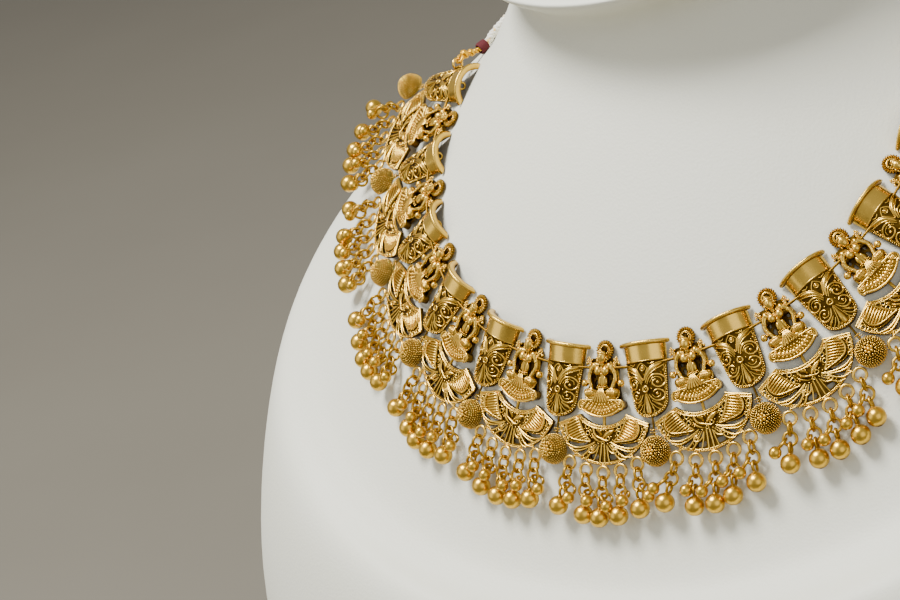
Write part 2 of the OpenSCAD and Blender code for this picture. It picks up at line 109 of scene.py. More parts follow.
def on_line(phi):
    """Takes local points of a piece at the angle phi to the frame of the whole part."""
    lean = radians(LEAN_FRONT - LEAN_LOSS * (phi / END_PHI) ** 2)
    turn = rot_x(LINE_TILT) @ rot_z(phi)
    whole = turn @ rot_x(lean)
    start = turn @ np.array([0, -LINE_R, 0]) + [0, -CENTRE_Y, LINE_HEIGHT]
    start = start + whole @ np.array([0, 0, STAND_OFF])
    return lambda p: np.asarray(p) @ whole.T + start


def whole_frame(p):
    return np.asarray(p) + [0, -CENTRE_Y, 0]


# Camera.

def add_camera():
    az, el, roll = radians(38), radians(20), radians(-15.95)
    ahead = Vector((-sin(az) * cos(el), cos(az) * cos(el), -sin(el)))
    right = Vector((cos(az), sin(az), 0))
    up = right.cross(ahead)
    side = right * cos(roll) + up * sin(roll)
    top = up * cos(roll) - right * sin(roll)
    data = bpy.data.cameras.new("camera")
    data.sensor_width = 36
    data.lens = 104.38
    data.clip_start = 0.05
    data.clip_end = 20
    camera = bpy.data.objects.new("camera", data)
    camera.matrix_world = Matrix((
        (side.x, top.x, -ahead.x, 0.3658),
        (side.y, top.y, -ahead.y, -0.5869 - CENTRE_Y / 1000),
        (side.z, top.z, -ahead.z, 0.4292),
        (0, 0, 0, 1)))
    bpy.context.scene.collection.objects.link(camera)
    bpy.context.scene.camera = camera


add_camera()


# Shapes.

def unit(v):
    v = np.asarray(v, float)
    return v / np.linalg.norm(v, axis=-1, keepdims=True)


def smooth(points, per=6, closed=False):
    """A smooth curve through the points, with per points in each stretch."""
    p = np.array(points, float)
    n = len(p)
    if closed:
        keys = np.vstack([p[-1], p, p[0], p[1]])
        spans = n
    else:
        keys = np.vstack([2 * p[0] - p[1], p, 2 * p[-1] - p[-2]])
        spans = n - 1
    out = [blend(*keys[k:k + 4], u / per) for k in range(spans) for u in range(per)]
    if not closed:
        out.append(p[-1])
    return np.array(out)


def spaced(path, pitch, closed=False):
    """Points at even distances along a path."""
    p = np.array(path, float)
    if closed:
        p = np.vstack([p, p[:1]])
    run = np.concatenate([[0], np.cumsum(np.linalg.norm(np.diff(p, axis=0), axis=1))])
    n = max(2, int(round(run[-1] / pitch)) + (0 if closed else 1))
    at = np.linspace(0, run[-1], n, endpoint=not closed)
    return np.stack([np.interp(at, run, p[:, k]) for k in range(p.shape[1])], 1)


def arc(cx, cy, r, a, b, n=24):
    t = np.radians(np.linspace(a, b, n))
    return np.stack([cx + r * np.cos(t), cy + r * np.sin(t)], 1)


def raised(points, z):
    """Plane points lifted to one height."""
    return np.column_stack([points, np.full(len(points), z)])


def icosphere(level):
    bm = bmesh.new()
    bmesh.ops.create_icosphere(bm, subdivisions=level, radius=1)
    v = np.array([q.co for q in bm.verts])
    f = np.array([[q.index for q in face.verts] for face in bm.faces])
    bm.free()
    return v, f


BALLS = {level: icosphere(level) for level in (1, 2, 3)}


def ball_tree():
    """Geometry nodes that set a ball on every point, for grains and beaded borders."""
    tree = bpy.data.node_groups.new("balls_on_points", "GeometryNodeTree")
    inputs = {}
    for name, kind in (("Points", "Geometry"), ("Ball radius", "Float"), ("Ball detail", "Int"),
                       ("Finish", "Material")):
        socket = tree.interface.new_socket(name, in_out="INPUT", socket_type="NodeSocket" + kind)
        inputs[name] = socket.identifier
    tree.interface.new_socket("Balls", in_out="OUTPUT", socket_type="NodeSocketGeometry")
    given = tree.nodes.new("NodeGroupInput").outputs
    result = tree.nodes.new("NodeGroupOutput").inputs
    ball = tree.nodes.new("GeometryNodeMeshIcoSphere")
    size = tree.nodes.new("GeometryNodeInputNamedAttribute")
    size.inputs["Name"].default_value = "size"
    placed = tree.nodes.new("GeometryNodeInstanceOnPoints")
    real = tree.nodes.new("GeometryNodeRealizeInstances")
    finish = tree.nodes.new("GeometryNodeSetMaterial")
    for start, end in ((given["Points"], placed.inputs["Points"]),
                       (given["Ball radius"], ball.inputs["Radius"]),
                       (given["Ball detail"], ball.inputs["Subdivisions"]),
                       (ball.outputs["Mesh"], placed.inputs["Instance"]),
                       (size.outputs["Attribute"], placed.inputs["Scale"]),
                       (placed.outputs["Instances"], real.inputs["Geometry"]),
                       (real.outputs["Geometry"], finish.inputs["Geometry"]),
                       (given["Finish"], finish.inputs["Material"]),
                       (finish.outputs["Geometry"], result["Balls"])):
        tree.links.new(start, end)
    return tree, inputs


BALL_TREE, BALL_INPUTS = ball_tree()


def balls_on_points(centres, radii, tones, level, finish):
    """Runs the tree on a cloud of points; gives the points, faces and tones of its mesh."""
    cloud = bpy.data.meshes.new("centres")
    cloud.vertices.add(len(centres))
    cloud.vertices.foreach_set("co", centres.astype(np.float32).ravel())
    for name, values in (("size", radii), ("tone", tones)):
        layer = cloud.attributes.new(name, "FLOAT", "POINT")
        layer.data.foreach_set("value", values.astype(np.float32))
    holder = bpy.data.objects.new("centres", cloud)
    bpy.context.scene.collection.objects.link(holder)
    modifier = holder.modifiers.new("balls", "NODES")
    modifier.node_group = BALL_TREE
    modifier[BALL_INPUTS["Ball radius"]] = 1.0
    modifier[BALL_INPUTS["Ball detail"]] = level
    if finish:
        modifier[BALL_INPUTS["Finish"]] = finish
    graph = bpy.context.evaluated_depsgraph_get()
    made = bpy.data.meshes.new_from_object(holder.evaluated_get(graph), depsgraph=graph)
    points = np.empty(len(made.vertices) * 3, np.float32)
    made.vertices.foreach_get("co", points)
    tone = np.empty(len(made.vertices), np.float32)
    made.attributes["tone"].data.foreach_get("value", tone)
    faces = np.empty(len(made.loops), np.int32)
    made.loops.foreach_get("vertex_index", faces)
    bpy.data.objects.remove(holder)
    bpy.data.meshes.remove(cloud)
    bpy.data.meshes.remove(made)
    return points.reshape(-1, 3), faces.reshape(-1, 3), tone


class Metal:
    """Surfaces in a local frame in millimetres. Each point has a tone, 0 in recesses and, as painted shade,
    on undersides and dark backing sheets.
    """

    def __init__(self, finish=None):
        self.points, self.tones, self.faces, self.count = [], [], [], 0
        self.finish = finish

    def add(self, points, faces, tone=1.0):
        points = np.asarray(points, float).reshape(-1, 3)
        faces = np.asarray(faces, int)
        self.points.append(points)
        self.tones.append(np.broadcast_to(np.asarray(tone, float).ravel(), (len(points),)))
        self.faces.append(faces + self.count)
        self.count += len(points)

    def both(self, half):
        """Adds a half and its mirror image in x."""
        p = np.vstack(half.points)
        t = np.concatenate(half.tones)
        for side in (1, -1):
            self.join(p * [side, 1, 1], t, [f[:, ::side] for f in half.faces])

    def join(self, points, tones, faces):
        self.points.append(points)
        self.tones.append(tones)
        self.faces += [f + self.count for f in faces]
        self.count += len(points)

    def grid(self, points, tone=1.0, around=False, cap=False):
        """Quads between rows of points; around joins the last column to the first."""
        points = np.asarray(points, float)
        n, m = points.shape[:2]
        i, j = np.meshgrid(np.arange(n - 1), np.arange(m if around else m - 1), indexing="ij")
        k = (j + 1) % m
        faces = np.stack([i * m + j, i * m + k, (i + 1) * m + k, (i + 1) * m + j], -1)
        tone = np.broadcast_to(np.asarray(tone, float), (n, m)).ravel()
        start = self.count
        self.add(points, faces.reshape(-1, 4), tone)
        if cap:
            for row, order in ((0, -1), (n - 1, 1)):
                middle = self.count
                self.add([points[row].mean(0)], np.zeros((0, 3), int), tone[row * m])
                a = np.arange(m)
                ring = np.stack([np.full(m, middle), start + row * m + a,
                                 start + row * m + (a + 1) % m], 1)[:, ::order]
                self.faces.append(ring)

    def tube(self, path, radius, sides=6, tone=1.0, closed=False, up=(0, 0, 1)):
        """A wire along a path; up keeps its facets from twisting."""
        p = np.asarray(path, float)
        n = len(p)
        if closed:
            t = np.roll(p, -1, 0) - np.roll(p, 1, 0)
        else:
            t = np.gradient(p, axis=0)
        t = unit(t)
        up = np.broadcast_to(np.asarray(up, float), (n, 3))
        side = np.cross(up, t)
        side = unit(side)
        top = np.cross(t, side)
        r = np.broadcast_to(np.asarray(radius, float), (n,))[:, None, None]
        a = -np.arange(sides) * 2 * pi / sides
        ring = (side[:, None] * np.cos(a)[None, :, None]
                + top[:, None] * np.sin(a)[None, :, None])
        points = p[:, None] + r * ring
        if closed:
            points = np.vstack([points, points[:1]])
            self.grid(points, tone, around=True)
        else:
            tone = np.broadcast_to(np.asarray(tone, float), (n,))[:, None]
            self.grid(points, tone, around=True, cap=True)

    def ring(self, centre, r, wire, axis=(0, 0, 1), steps=20, sides=7, tone=1.0):
        """A round wire ring about an axis."""
        axis = unit(axis)
        a = unit(np.cross(axis, (0.3, 0.5, 0.81) if abs(axis[2]) < 0.9 else (0, 1, 0)))
        b = np.cross(axis, a)
        t = np.arange(steps) * 2 * pi / steps
        path = np.asarray(centre, float) + r * (np.cos(t)[:, None] * a + np.sin(t)[:, None] * b)
        self.tube(path, wire, sides, tone, closed=True, up=axis)

    def balls(self, centres, radius, level=1, tone=1.0):
        """Small balls of one or several sizes."""
        c = np.asarray(centres, float).reshape(-1, 3)
        r = np.broadcast_to(np.asarray(radius, float), (len(c),))
        tone = np.broadcast_to(np.asarray(tone, float), (len(c),))
        self.add(*balls_on_points(c, r, tone, level, self.finish))

    def egg(self, centre, radii, turn=0, level=3, tone=1.0):
        """An ellipsoid turned in the local plane."""
        v, f = BALLS[level]
        points = (v * radii) @ rot_z(radians(turn)).T + centre
        self.add(points, f, tone)

    def petal(self, path, widths, height, base=0.0, tone=(0.35, 1.0), across=6, sink=0.3):
        """A leaf with a rounded back along a path in the plane; base gives its bed."""
        p = np.asarray(path, float)
        w = np.asarray(widths, float)
        t = unit(np.gradient(p, axis=0))
        side = np.stack([-t[:, 1], t[:, 0]], 1)
        s = -np.cos(np.linspace(0, pi, across + 1))
        xy = p[:, None] + side[:, None] * (s[None, :, None] * w[:, None, None])
        bed = base(xy[..., 0], xy[..., 1]) if callable(base) else np.full(xy.shape[:2], base)
        rise = np.sqrt(np.clip(1 - s**2, 0, 1))[None] * np.sqrt(w / w.max())[:, None]
        z = bed + height * rise
        tones = tone[0] + (tone[1] - tone[0]) * rise
        low = np.concatenate([xy, (bed - sink)[..., None]], 2)
        top = np.concatenate([xy, z[..., None]], 2)
        loop = np.concatenate([top, low[:, ::-1]], 1)
        self.grid(loop[:, ::-1], np.concatenate([tones, tones[:, ::-1]], 1)[:, ::-1],
                  around=True, cap=True)

    def slab(self, outline, holes, low, high, tone=(0.0, 0.2)):
        """A flat plate with openings; tone for its walls and top."""
        loops = [np.asarray(outline, float)] + [np.asarray(h, float) for h in holes]
        flat = np.vstack(loops)
        tris = tessellate_polygon([[Vector((x, y, 0)) for x, y in loop] for loop in loops])
        tris = np.array(tris, int)
        a, b, c = (flat[tris[:, k]] for k in range(3))
        turn = (b[:, 0] - a[:, 0]) * (c[:, 1] - a[:, 1]) - (b[:, 1] - a[:, 1]) * (c[:, 0] - a[:, 0])
        tris[turn < 0] = tris[turn < 0][:, ::-1]
        n = len(flat)
        points = np.vstack([raised(flat, high),
                            raised(flat, low)])
        tones = np.concatenate([np.full(n, tone[1]), np.full(n, tone[0])])
        start = self.count
        self.add(points, np.vstack([tris, tris[:, ::-1] + n]), tones)
        at = 0
        for k, loop in enumerate(loops):
            m = len(loop)
            i = at + np.arange(m)
            j = at + (np.arange(m) + 1) % m
            area = np.sum(loop[:, 0] * np.roll(loop[:, 1], -1) - loop[:, 1] * np.roll(loop[:, 0], -1))
            wall = np.stack([i, i + n, j + n, j], 1)
            if (area > 0) != (k > 0):
                wall = wall[:, ::-1]
            self.faces.append(wall + start)
            at += m

    def mesh(self, name, place, material, sharp=65):
        """Makes the Blender object in the frame of the whole part."""
        points = place(np.vstack(self.points)) / 1000
        tones = np.concatenate(self.tones)
        mesh = bpy.data.meshes.new(name)
        sizes = np.concatenate([np.full(len(f), f.shape[1]) for f in self.faces])
        loops = np.concatenate([f.ravel() for f in self.faces])
        mesh.vertices.add(len(points))
        mesh.vertices.foreach_set("co", points.astype(np.float32).ravel())
        mesh.loops.add(len(loops))
        mesh.loops.foreach_set("vertex_index", loops.astype(np.int32))
        mesh.polygons.add(len(sizes))
        starts = np.concatenate([[0], np.cumsum(sizes)[:-1]])
        mesh.polygons.foreach_set("loop_start", starts.astype(np.int32))
        mesh.polygons.foreach_set("use_smooth", np.ones(len(sizes), bool))
        mesh.update(calc_edges=True)
        mesh.validate()
        mesh.set_sharp_from_angle(angle=radians(sharp))
        layer = mesh.attributes.new("tone", "FLOAT", "POINT")
        layer.data.foreach_set("value", tones.astype(np.float32))
        mesh.materials.append(material)
        obj = bpy.data.objects.new(name, mesh)
        bpy.context.scene.collection.objects.link(obj)
        return obj


# Materials. Small helpers that write shader maths as plain expressions.

class Socket:
    """A shader value; sums and products make the nodes for them."""

    def __init__(self, shader, out):
        self.shader, self.out = shader, out

    def _math(self, kind, *args, clamp=False):
        return self.shader.math(kind, *args, clamp=clamp)

    def __add__(self, other):
        return self._math("ADD", self, other)

    def __radd__(self, other):
        return self._math("ADD", other, self)

    def __sub__(self, other):
        return self._math("SUBTRACT", self, other)

    def __rsub__(self, other):
        return self._math("SUBTRACT", other, self)

    def __mul__(self, other):
        return self._math("MULTIPLY", self, other)

    def __rmul__(self, other):
        return self._math("MULTIPLY", other, self)

    def clamped(self):
        return self._math("ADD", self, 0.0, clamp=True)


class Shader:
    def __init__(self, name):
        self.material = bpy.data.materials.new(name)
        self.material.use_nodes = True
        self.tree = self.material.node_tree
        self.surface = self.tree.nodes["Principled BSDF"]
        self.place = self.node("ShaderNodeTexCoord").outputs["Object"]

    def node(self, kind, inputs=(), **settings):
        n = self.tree.nodes.new(kind)
        for key, value in settings.items():
            setattr(n, key, value)
        for key, value in dict(inputs).items():
            self.feed(n.inputs[key], value)
        return n

    def feed(self, socket, value):
        if isinstance(value, Socket):
            value = value.out
        if isinstance(value, bpy.types.NodeSocket):
            self.tree.links.new(value, socket)
        else:
            socket.default_value = value

    def math(self, kind, *args, clamp=False):
        n = self.node("ShaderNodeMath", operation=kind, use_clamp=clamp)
        for socket, value in zip(n.inputs, args):
            self.feed(socket, value)
        return Socket(self, n.outputs[0])

    def noise(self, scale, detail=3.0, rough=0.5):
        n = self.node("ShaderNodeTexNoise", {"Vector": self.place, "Scale": scale,
                                             "Detail": detail, "Roughness": rough})
        return Socket(self, n.outputs["Fac"])

    def grain(self, scale):
        n = self.node("ShaderNodeTexVoronoi", {"Vector": self.place, "Scale": scale})
        return Socket(self, n.outputs["Distance"])

    def named(self, name):
        return Socket(self, self.node("ShaderNodeAttribute", attribute_name=name).outputs["Fac"])

    def mix(self, factor, a, b):
        n = self.node("ShaderNodeMix", data_type="RGBA")
        self.feed(n.inputs["Factor"], factor)
        for key, value in (("A", a), ("B", b)):
            socket = [s for s in n.inputs if s.name == key and s.type == "RGBA"][0]
            self.feed(socket, value if isinstance(value, bpy.types.NodeSocket) else (*value, 1))
        return [s for s in n.outputs if s.type == "RGBA"][0]

    def bump(self, height, strength, distance):
        inputs = {"Height": height, "Strength": strength, "Distance": distance}
        return self.node("ShaderNodeBump", inputs).outputs["Normal"]

    def set(self, **values):
        for key, value in values.items():
            self.feed(self.surface.inputs[key.replace("_", " ")], value)


def antique_gold(name, dark=(0.03, 0.014, 0.002), middle=(0.3, 0.16, 0.016),
                 light=(0.78, 0.495, 0.08), rough=0.25):
    """Matte gold plating, dark in the recesses and bright on the relief, after the tone attribute; tone 0
    on undersides and dark backing sheets is painted shade.
    """
    s = Shader(name)
    tone = s.named("tone")
    cloud = s.noise(420, 3)
    fine = s.noise(2600, 2)
    # this mix follows the tone: wear and patina on the relief and in recesses, and painted shade where the
    # tone is 0 under and behind the pieces
    wear_and_shade = (tone + (cloud - 0.5) * 0.35 + (fine - 0.5) * 0.12).clamped()
    low = s.mix((wear_and_shade * 2).clamped(), dark, middle)
    s.set(Base_Color=s.mix((wear_and_shade * 2 - 1).clamped(), low, light), Metallic=1.0)
    s.set(Roughness=(rough + 0.22 * (1 - wear_and_shade) + (cloud - 0.5) * 0.16).clamped())
    height = fine * 0.5 + s.noise(1200, 2) * 0.5
    s.set(Normal=s.bump(height, 0.35, 0.00006))
    return s.material


def leatherette():
    s = Shader("white_leatherette")
    cell = s.grain(1250)
    fold = s.noise(900, 4, 0.6)
    soft = s.noise(9, 3)
    mark = (s.noise(60, 2) - 0.72) * 6
    pale = s.mix((soft - 0.3) * 1.2, (0.7, 0.695, 0.58), (0.735, 0.73, 0.62))
    s.set(Base_Color=s.mix((mark.clamped()) * 0.12, pale, (0.5, 0.46, 0.38)))
    s.set(Roughness=0.5 + (fold - 0.5) * 0.12)
    s.surface.inputs["Specular IOR Level"].default_value = 0.35
    s.set(Normal=s.bump(cell * 0.6 + fold * 0.6, 0.32, 0.00022))
    return s.material


def thread(name, dark, light, fleck=None, metal=0.0, rough=0.6):
    """Twisted thread; the tone runs over each strand."""
    s = Shader(name)
    tone = s.named("tone")
    cloud = s.noise(1500, 3)
    colour = s.mix((tone * 0.8 + cloud * 0.3).clamped(), dark, light)
    if fleck:
        spots = ((s.noise(700, 2) - 0.56) * 14).clamped()
        colour = s.mix(spots, colour, fleck)
    s.set(Base_Color=colour, Metallic=metal, Roughness=rough)
    s.set(Normal=s.bump(s.noise(3000, 3), 0.5, 0.00008))
    return s.material


def floor_paper():
    s = Shader("pale_paper")
    cloud = s.noise(6, 4)
    s.set(Base_Color=s.mix(cloud, (0.13, 0.117, 0.088), (0.15, 0.136, 0.104)), Roughness=0.8)
    s.set(Normal=s.bump(s.noise(700, 3), 0.1, 0.0002))
    return s.material


# Arch plates.

ARCH_R = (6.2**2 + 4**2) / 8
SLOPE = radians(6.5)
TIP_Y, TIP_R, TIP_WIDE = -14.7, 4.5, 1.14
BAND = 4.4


def arch(x, y, grow=0.0):
    """Height of the sloping arch over the local plane."""
    inside = np.sqrt(np.clip((ARCH_R + grow)**2 - np.asarray(x, float)**2, 0, None))
    return 4 - ARCH_R + (inside + y * sin(SLOPE)) / cos(SLOPE)


def arch_half(y, grow=0.0):
    """Half width of the arch where it meets the back plane."""
    level = -(4 - ARCH_R) * cos(SLOPE) - y * sin(SLOPE)
    return np.sqrt(np.clip((ARCH_R + grow)**2 - level**2, 0, None))


def plate_half(y):
    tip = TIP_WIDE * np.sqrt(np.clip(TIP_R**2 - np.minimum(y - TIP_Y, 0)**2, 0, None))
    return np.where(y < TIP_Y, np.minimum(arch_half(y), tip), arch_half(y))


def fitted(points):
    """Ornament points, spread over the panel."""
    p = np.asarray(points, float)
    return np.column_stack([p[:, 0] * (1.03 - 0.004 * (p[:, 1] + 4)),
                            -BAND - 0.05 + 1.09 * (p[:, 1] + 4.05)])


def plate_shell(m):
    ys = np.concatenate([np.linspace(0.1, 0.15 - BAND, 8), [-BAND, -BAND - 0.25],
                         np.linspace(-5.2, -17.8, 20), -19.2 + 1.4 * np.linspace(1, 0.02, 8)**2])
    s = np.sin(np.linspace(-pi / 2, pi / 2, 27))
    for_band = np.clip((ys + BAND + 0.15) / 0.12, 0, 1)
    half = plate_half(ys)
    x = s[None] * half[:, None]
    y = np.repeat(ys[:, None], len(s), 1)
    rise = (0.42 * for_band[:, None] - 0.05) * np.sqrt(np.clip(1 - s**4, 0, 1))[None]
    z = np.clip(arch(x, y) + rise, 0, None)
    tone = np.where(for_band[:, None] > 0.5, 1.0, 0.1) * np.ones_like(x)
    inner = np.clip((half - 0.85) / np.maximum(half, 0.01), 0.05, 1)[:, None]
    xi = x * inner
    zi = np.clip(arch(xi, y, -0.8), 0.02, None)
    zi = np.minimum(zi, z - 0.1).clip(0, None)
    zi[:, 0] = zi[:, -1] = 0
    z[:, 0] = z[:, -1] = 0
    outer = np.stack([x, y, z], 2)
    under = np.stack([xi, y, zi], 2)[:, ::-1]
    loop = np.concatenate([outer, under], 1)
    # the inner surface under the arch gets tone 0: painted shade
    tones = np.concatenate([tone, np.zeros_like(tone)], 1)
    m.grid(loop[::-1], tones[::-1], around=True)
    # faces that close the two ends between the outer and the inner surface
    for row, turn in ((0, 1), (-1, -1)):
        a, b = outer[row], under[row][::-1]
        m.grid(np.stack([a, b])[:, ::turn], 0.5)


def plate_shade_back(m):
    """A thin black sheet inside the hollow: painted shade that makes the open top look dark."""
    right = border(1.0, 6, 10)
    right = right[right[:, 1] < -BAND]
    outline = np.vstack([right, (right * [-1, 1])[::-1][1:]])
    m.slab(outline, [], 0.05, 0.3, (0.0, 0.0))


def plate_rim(m):
    level = -(4 - ARCH_R) * cos(SLOPE)
    turns = np.linspace(-1, 1, 131)
    profile = [(0.3, -0.35, 0.2), (0.95, -0.15, 0.8), (1.12, 0.1, 1.0), (1.1, 0.45, 1.0),
               (0.95, 0.75, 1.0), (0.5, 0.92, 1.0), (-0.2, 0.95, 0.8), (-0.8, 0.9, 0.4),
               (-0.8, -0.15, 0.2)]
    rows = []
    tones = []
    for k, turn in enumerate(turns):
        notch = 0.07 * (k % 3 == 0)
        row = []
        for grow, y, _ in profile:
            r = ARCH_R + grow - (notch if grow > 0.4 else 0)
            a = turn * acos(level / r)
            row.append((r * sin(a), y, max(0.0, 4 - ARCH_R + (r * cos(a) + y * sin(SLOPE)) / cos(SLOPE))))
        rows.append(row)
        tones.append([t - (2.5 * notch if g > 0.4 else 0) for g, _, t in profile])
    m.grid(np.array(rows)[:, ::-1], np.array(tones)[:, ::-1], around=True, cap=True)


def on_arch(path, lift=0.0, fit=True):
    p = fitted(path) if fit else np.asarray(path, float)
    return np.column_stack([p, arch(p[:, 0], p[:, 1]) + lift])


def border(inset, straight, round_part):
    """Right half of a line that follows the plate's edge, from the band to the tip."""
    r = TIP_R - inset
    ys = np.concatenate([np.linspace(-BAND - 0.4, TIP_Y, straight),
                         TIP_Y - r * np.sin(np.linspace(0.06, pi / 2, round_part))])
    tip = (TIP_WIDE * TIP_R - inset) / r * np.sqrt(np.clip(r**2 - np.minimum(ys - TIP_Y, 0)**2, 0, None))
    out = np.where(ys < TIP_Y, np.minimum(tip, arch_half(ys) - inset), arch_half(ys) - inset)
    out[-1] = 0.02
    return np.column_stack([out, ys])


def plate_ornament(m):
    half = Metal(m.finish)

    def stroke(points, r, per=4, lift=0.16):
        path = on_arch(smooth(points, per), lift)
        width = r if np.ndim(r) == 0 else np.interp(np.linspace(0, 1, len(path)),
                                                    np.linspace(0, 1, len(r)), r)
        half.tube(path, width)

    # long leaves that spread to the upper corners
    half.petal(fitted(smooth([(0.35, -9.2), (1.0, -7.7), (2.3, -6.3), (4.2, -5.2), (5.7, -4.6)], 5)),
               np.interp(np.linspace(0, 1, 21), [0, 0.3, 0.6, 1], [0.08, 0.5, 0.62, 0.06]),
               0.62, arch)
    stroke([(0.45, -9.3), (1.4, -7.7), (2.9, -6.6), (4.6, -5.7), (5.75, -4.9)], 0.16, lift=0.3)
    stroke([(0.25, -8.6), (0.8, -7.2), (1.9, -5.9), (3.7, -4.9), (5.2, -4.55)], 0.15, lift=0.3)
    # rhombus below the band
    stroke([(0.0, -4.5), (0.8, -5.1), (1.45, -5.9)], 0.17, 3)
    stroke([(1.45, -5.9), (0.8, -7.2), (0.05, -8.7)], 0.17, 3)
    stroke([(1.7, -4.6), (2.4, -4.9), (3.3, -4.55)], 0.16, 3)
    # upper and lower volutes
    stroke([(0.75, -9.6), (1.5, -8.3), (2.5, -7.6), (3.9, -7.6), (4.85, -8.6), (4.7, -9.8),
            (3.8, -10.5), (2.7, -10.4), (2.1, -9.7), (2.3, -9.0), (3.0, -8.7)],
           [0.16, 0.28, 0.3, 0.3, 0.28, 0.24, 0.16])
    stroke([(1.5, -9.3), (2.1, -8.5), (3.1, -8.1), (4.0, -8.5), (4.15, -9.3)], 0.12, 4)
    stroke([(0.8, -12.1), (1.6, -13.3), (2.7, -13.8), (3.9, -13.4), (4.3, -12.3), (3.8, -11.4),
            (2.8, -11.1), (2.0, -11.6)], [0.16, 0.28, 0.3, 0.28, 0.24, 0.18])
    stroke([(1.5, -12.2), (2.2, -13.0), (3.2, -12.8), (3.5, -12.1)], 0.12, 4)
    spots = [(3.25, -9.45, 0.46), (2.75, -12.1, 0.42), (4.85, -6.8, 0.3), (4.3, -7.2, 0.2),
             (5.0, -7.7, 0.2), (4.75, -10.9, 0.22), (1.6, -10.8, 0.2), (3.9, -14.4, 0.22)]
    half.balls(on_arch([p[:2] for p in spots], 0.12), [p[2] for p in spots], 2)
    # side leaves and the small scrolls at the tip
    half.petal(fitted(smooth([(1.3, -13.7), (2.2, -14.3), (3.2, -14.9), (3.7, -15.5)], 4)),
               np.interp(np.linspace(0, 1, 13), [0, 0.5, 1], [0.1, 0.42, 0.08]), 0.5, arch)
    stroke([(1.2, -14.3), (2.0, -15.3), (3.1, -16.0)], 0.15, 4)
    stroke([(1.1, -15.2), (1.8, -16.3), (2.7, -16.6)], 0.13, 4)
    stroke([(4.9, -5.6), (5.2, -6.3), (4.7, -6.6)], 0.13, 3)
    # plain wire inside the beaded border
    half.tube(on_arch(border(0.62, 18, 12), 0.02, False), 0.12, 6, 0.8)
    m.both(half)
    # beaded border
    right = border(0.22, 30, 24)
    whole = np.vstack([right, (right * [-1, 1])[::-1][1:]])
    m.balls(on_arch(spaced(whole, 0.6), 0.26, False), 0.27, 1)
    # centre ring, petal at the tip, bead in the rhombus
    m.ring(on_arch([(0.1, -10.8)], 0.2)[0], 0.72, 0.24, steps=18)
    m.balls(on_arch([(0.1, -10.8), (0.1, -5.8)], 0.05), [0.3, 0.42], 2, [0.5, 1.0])
    m.ring(on_arch([(0.1, -5.8)], 0.05)[0], 0.62, 0.12, steps=14, sides=6)
    m.petal(fitted(smooth([(0.1, -11.9), (0.1, -13.3), (0.1, -14.9), (0.1, -16.2), (0.1, -16.9)], 5)),
            np.interp(np.linspace(0, 1, 21), [0, 0.3, 0.6, 0.85, 1], [0.1, 0.45, 0.85, 0.75, 0.2]),
            0.75, arch, across=8)
    m.tube(on_arch(smooth([(0.1, -11.8), (-0.75, -14.3), (-1.25, -16), (-0.7, -17.1), (0.1, -17.35),
                           (0.9, -17.1), (1.45, -16), (0.95, -14.3)], 4, closed=True), 0.12),
           0.13, 6, closed=True)
    # the band's lower edge
    xs = np.linspace(-1, 1, 31) * (plate_half(-BAND) - 0.1)
    m.tube(np.column_stack([xs, np.full(31, -BAND), arch(xs, -BAND) + 0.3]), 0.15, 6, 0.9)
    # ring inside the hollow, which shows through the open top
    m.ring((1.0, -1.6, 1.1), 1.0, 0.4, (0.1, 1, 0.35), steps=18, tone=0.7)
    m.tube([(1.0, -2.6, 1.1), (1.0, -3.6, 1.6), (1.0, -4.4, 2.4)], 0.4, 6, 0.4)


def dome(m):
    centre = np.array([0, -28, 0.81])
    r = 3.66
    ts = np.linspace(0.02, radians(101.5), 16)
    phi = np.arange(32) * 2 * pi / 32
    rows = np.stack([np.sin(ts)[:, None] * np.cos(phi), np.sin(ts)[:, None] * np.sin(phi),
                     np.cos(ts)[:, None] * np.ones(32)], 2) * r + centre
    rows[..., 2] = rows[..., 2].clip(0)
    m.grid(rows, 0.0, around=True, cap=True)
    beads, sizes = [], []
    for row in range(8):
        t = radians(29 + 8.9 * row)
        n = int(2 * pi * 4 * sin(t) / 0.62)
        a = np.arange(n) * 2 * pi / n + row * 1.3
        beads.append(np.stack([4 * sin(t) * np.cos(a), 4 * sin(t) * np.sin(a),
                               np.full(n, 4 * cos(t))], 1) + centre)
        sizes.append(np.full(n, 0.26))
    m.balls(np.vstack(beads), np.concatenate(sizes), 1, 1.0)
    # rosette of larger grains on the top
    for n, r, z, size in ((6, 0.88, 4.0, 0.46), (12, 1.62, 3.75, 0.3)):
        a = np.arange(n) * 2 * pi / n
        ring = np.stack([r * np.cos(a), r * np.sin(a), np.full(n, z)], 1)
        m.balls(ring + centre, size, 2)
    m.balls([centre + [0, 0, 4.2]], 0.5, 2)
    # stem up to the plate
    m.tube([(0, -16.6, 0.6), (0, -24.6, 0.6)], 0.3, 6, 0.3)
    m.balls([(x, -22.4 - 0.1 * abs(x), 0.8) for x in np.linspace(-0.75, 0.75, 5)], 0.24, 1)
    m.balls([(x, -23.2, 0.8) for x in np.linspace(-0.9, 0.9, 5)], 0.22, 1, 0.8)


# Goddess units.

def halo(m):
    c = np.array([0.35, -0.25, 0.0])
    a = np.arange(44) * 2 * pi / 44
    r = 2.5 + 0.1 * np.cos(22 * a)
    m.slab(np.stack([c[0] + r * np.cos(a), c[1] + r * np.sin(a)], 1), [], 0.2, 0.8, (0.1, 0.05))
    for k in range(22):
        t = 2 * pi * k / 22
        d = np.array([cos(t), sin(t)])
        path = c[:2] + d * np.array([1.25, 1.6, 1.95, 2.35, 2.68])[:, None]
        m.petal(path, [0.1, 0.19, 0.27, 0.33, 0.14], 0.6, 0.7, (0.0, 1.0), 4, sink=0.1)
    m.ring(c + [0, -0.05, 1.0], 1.45, 0.2, steps=26, sides=6)
    b = np.arange(15) * 2 * pi / 15
    m.balls(np.stack([c[0] + 1.12 * np.cos(b), c[1] + 1.12 * np.sin(b), np.full(15, 1.15)], 1), 0.19, 1)
    m.egg(c + [0, 0.1, 0.7], (0.9, 0.9, 0.35), level=2, tone=0.0)


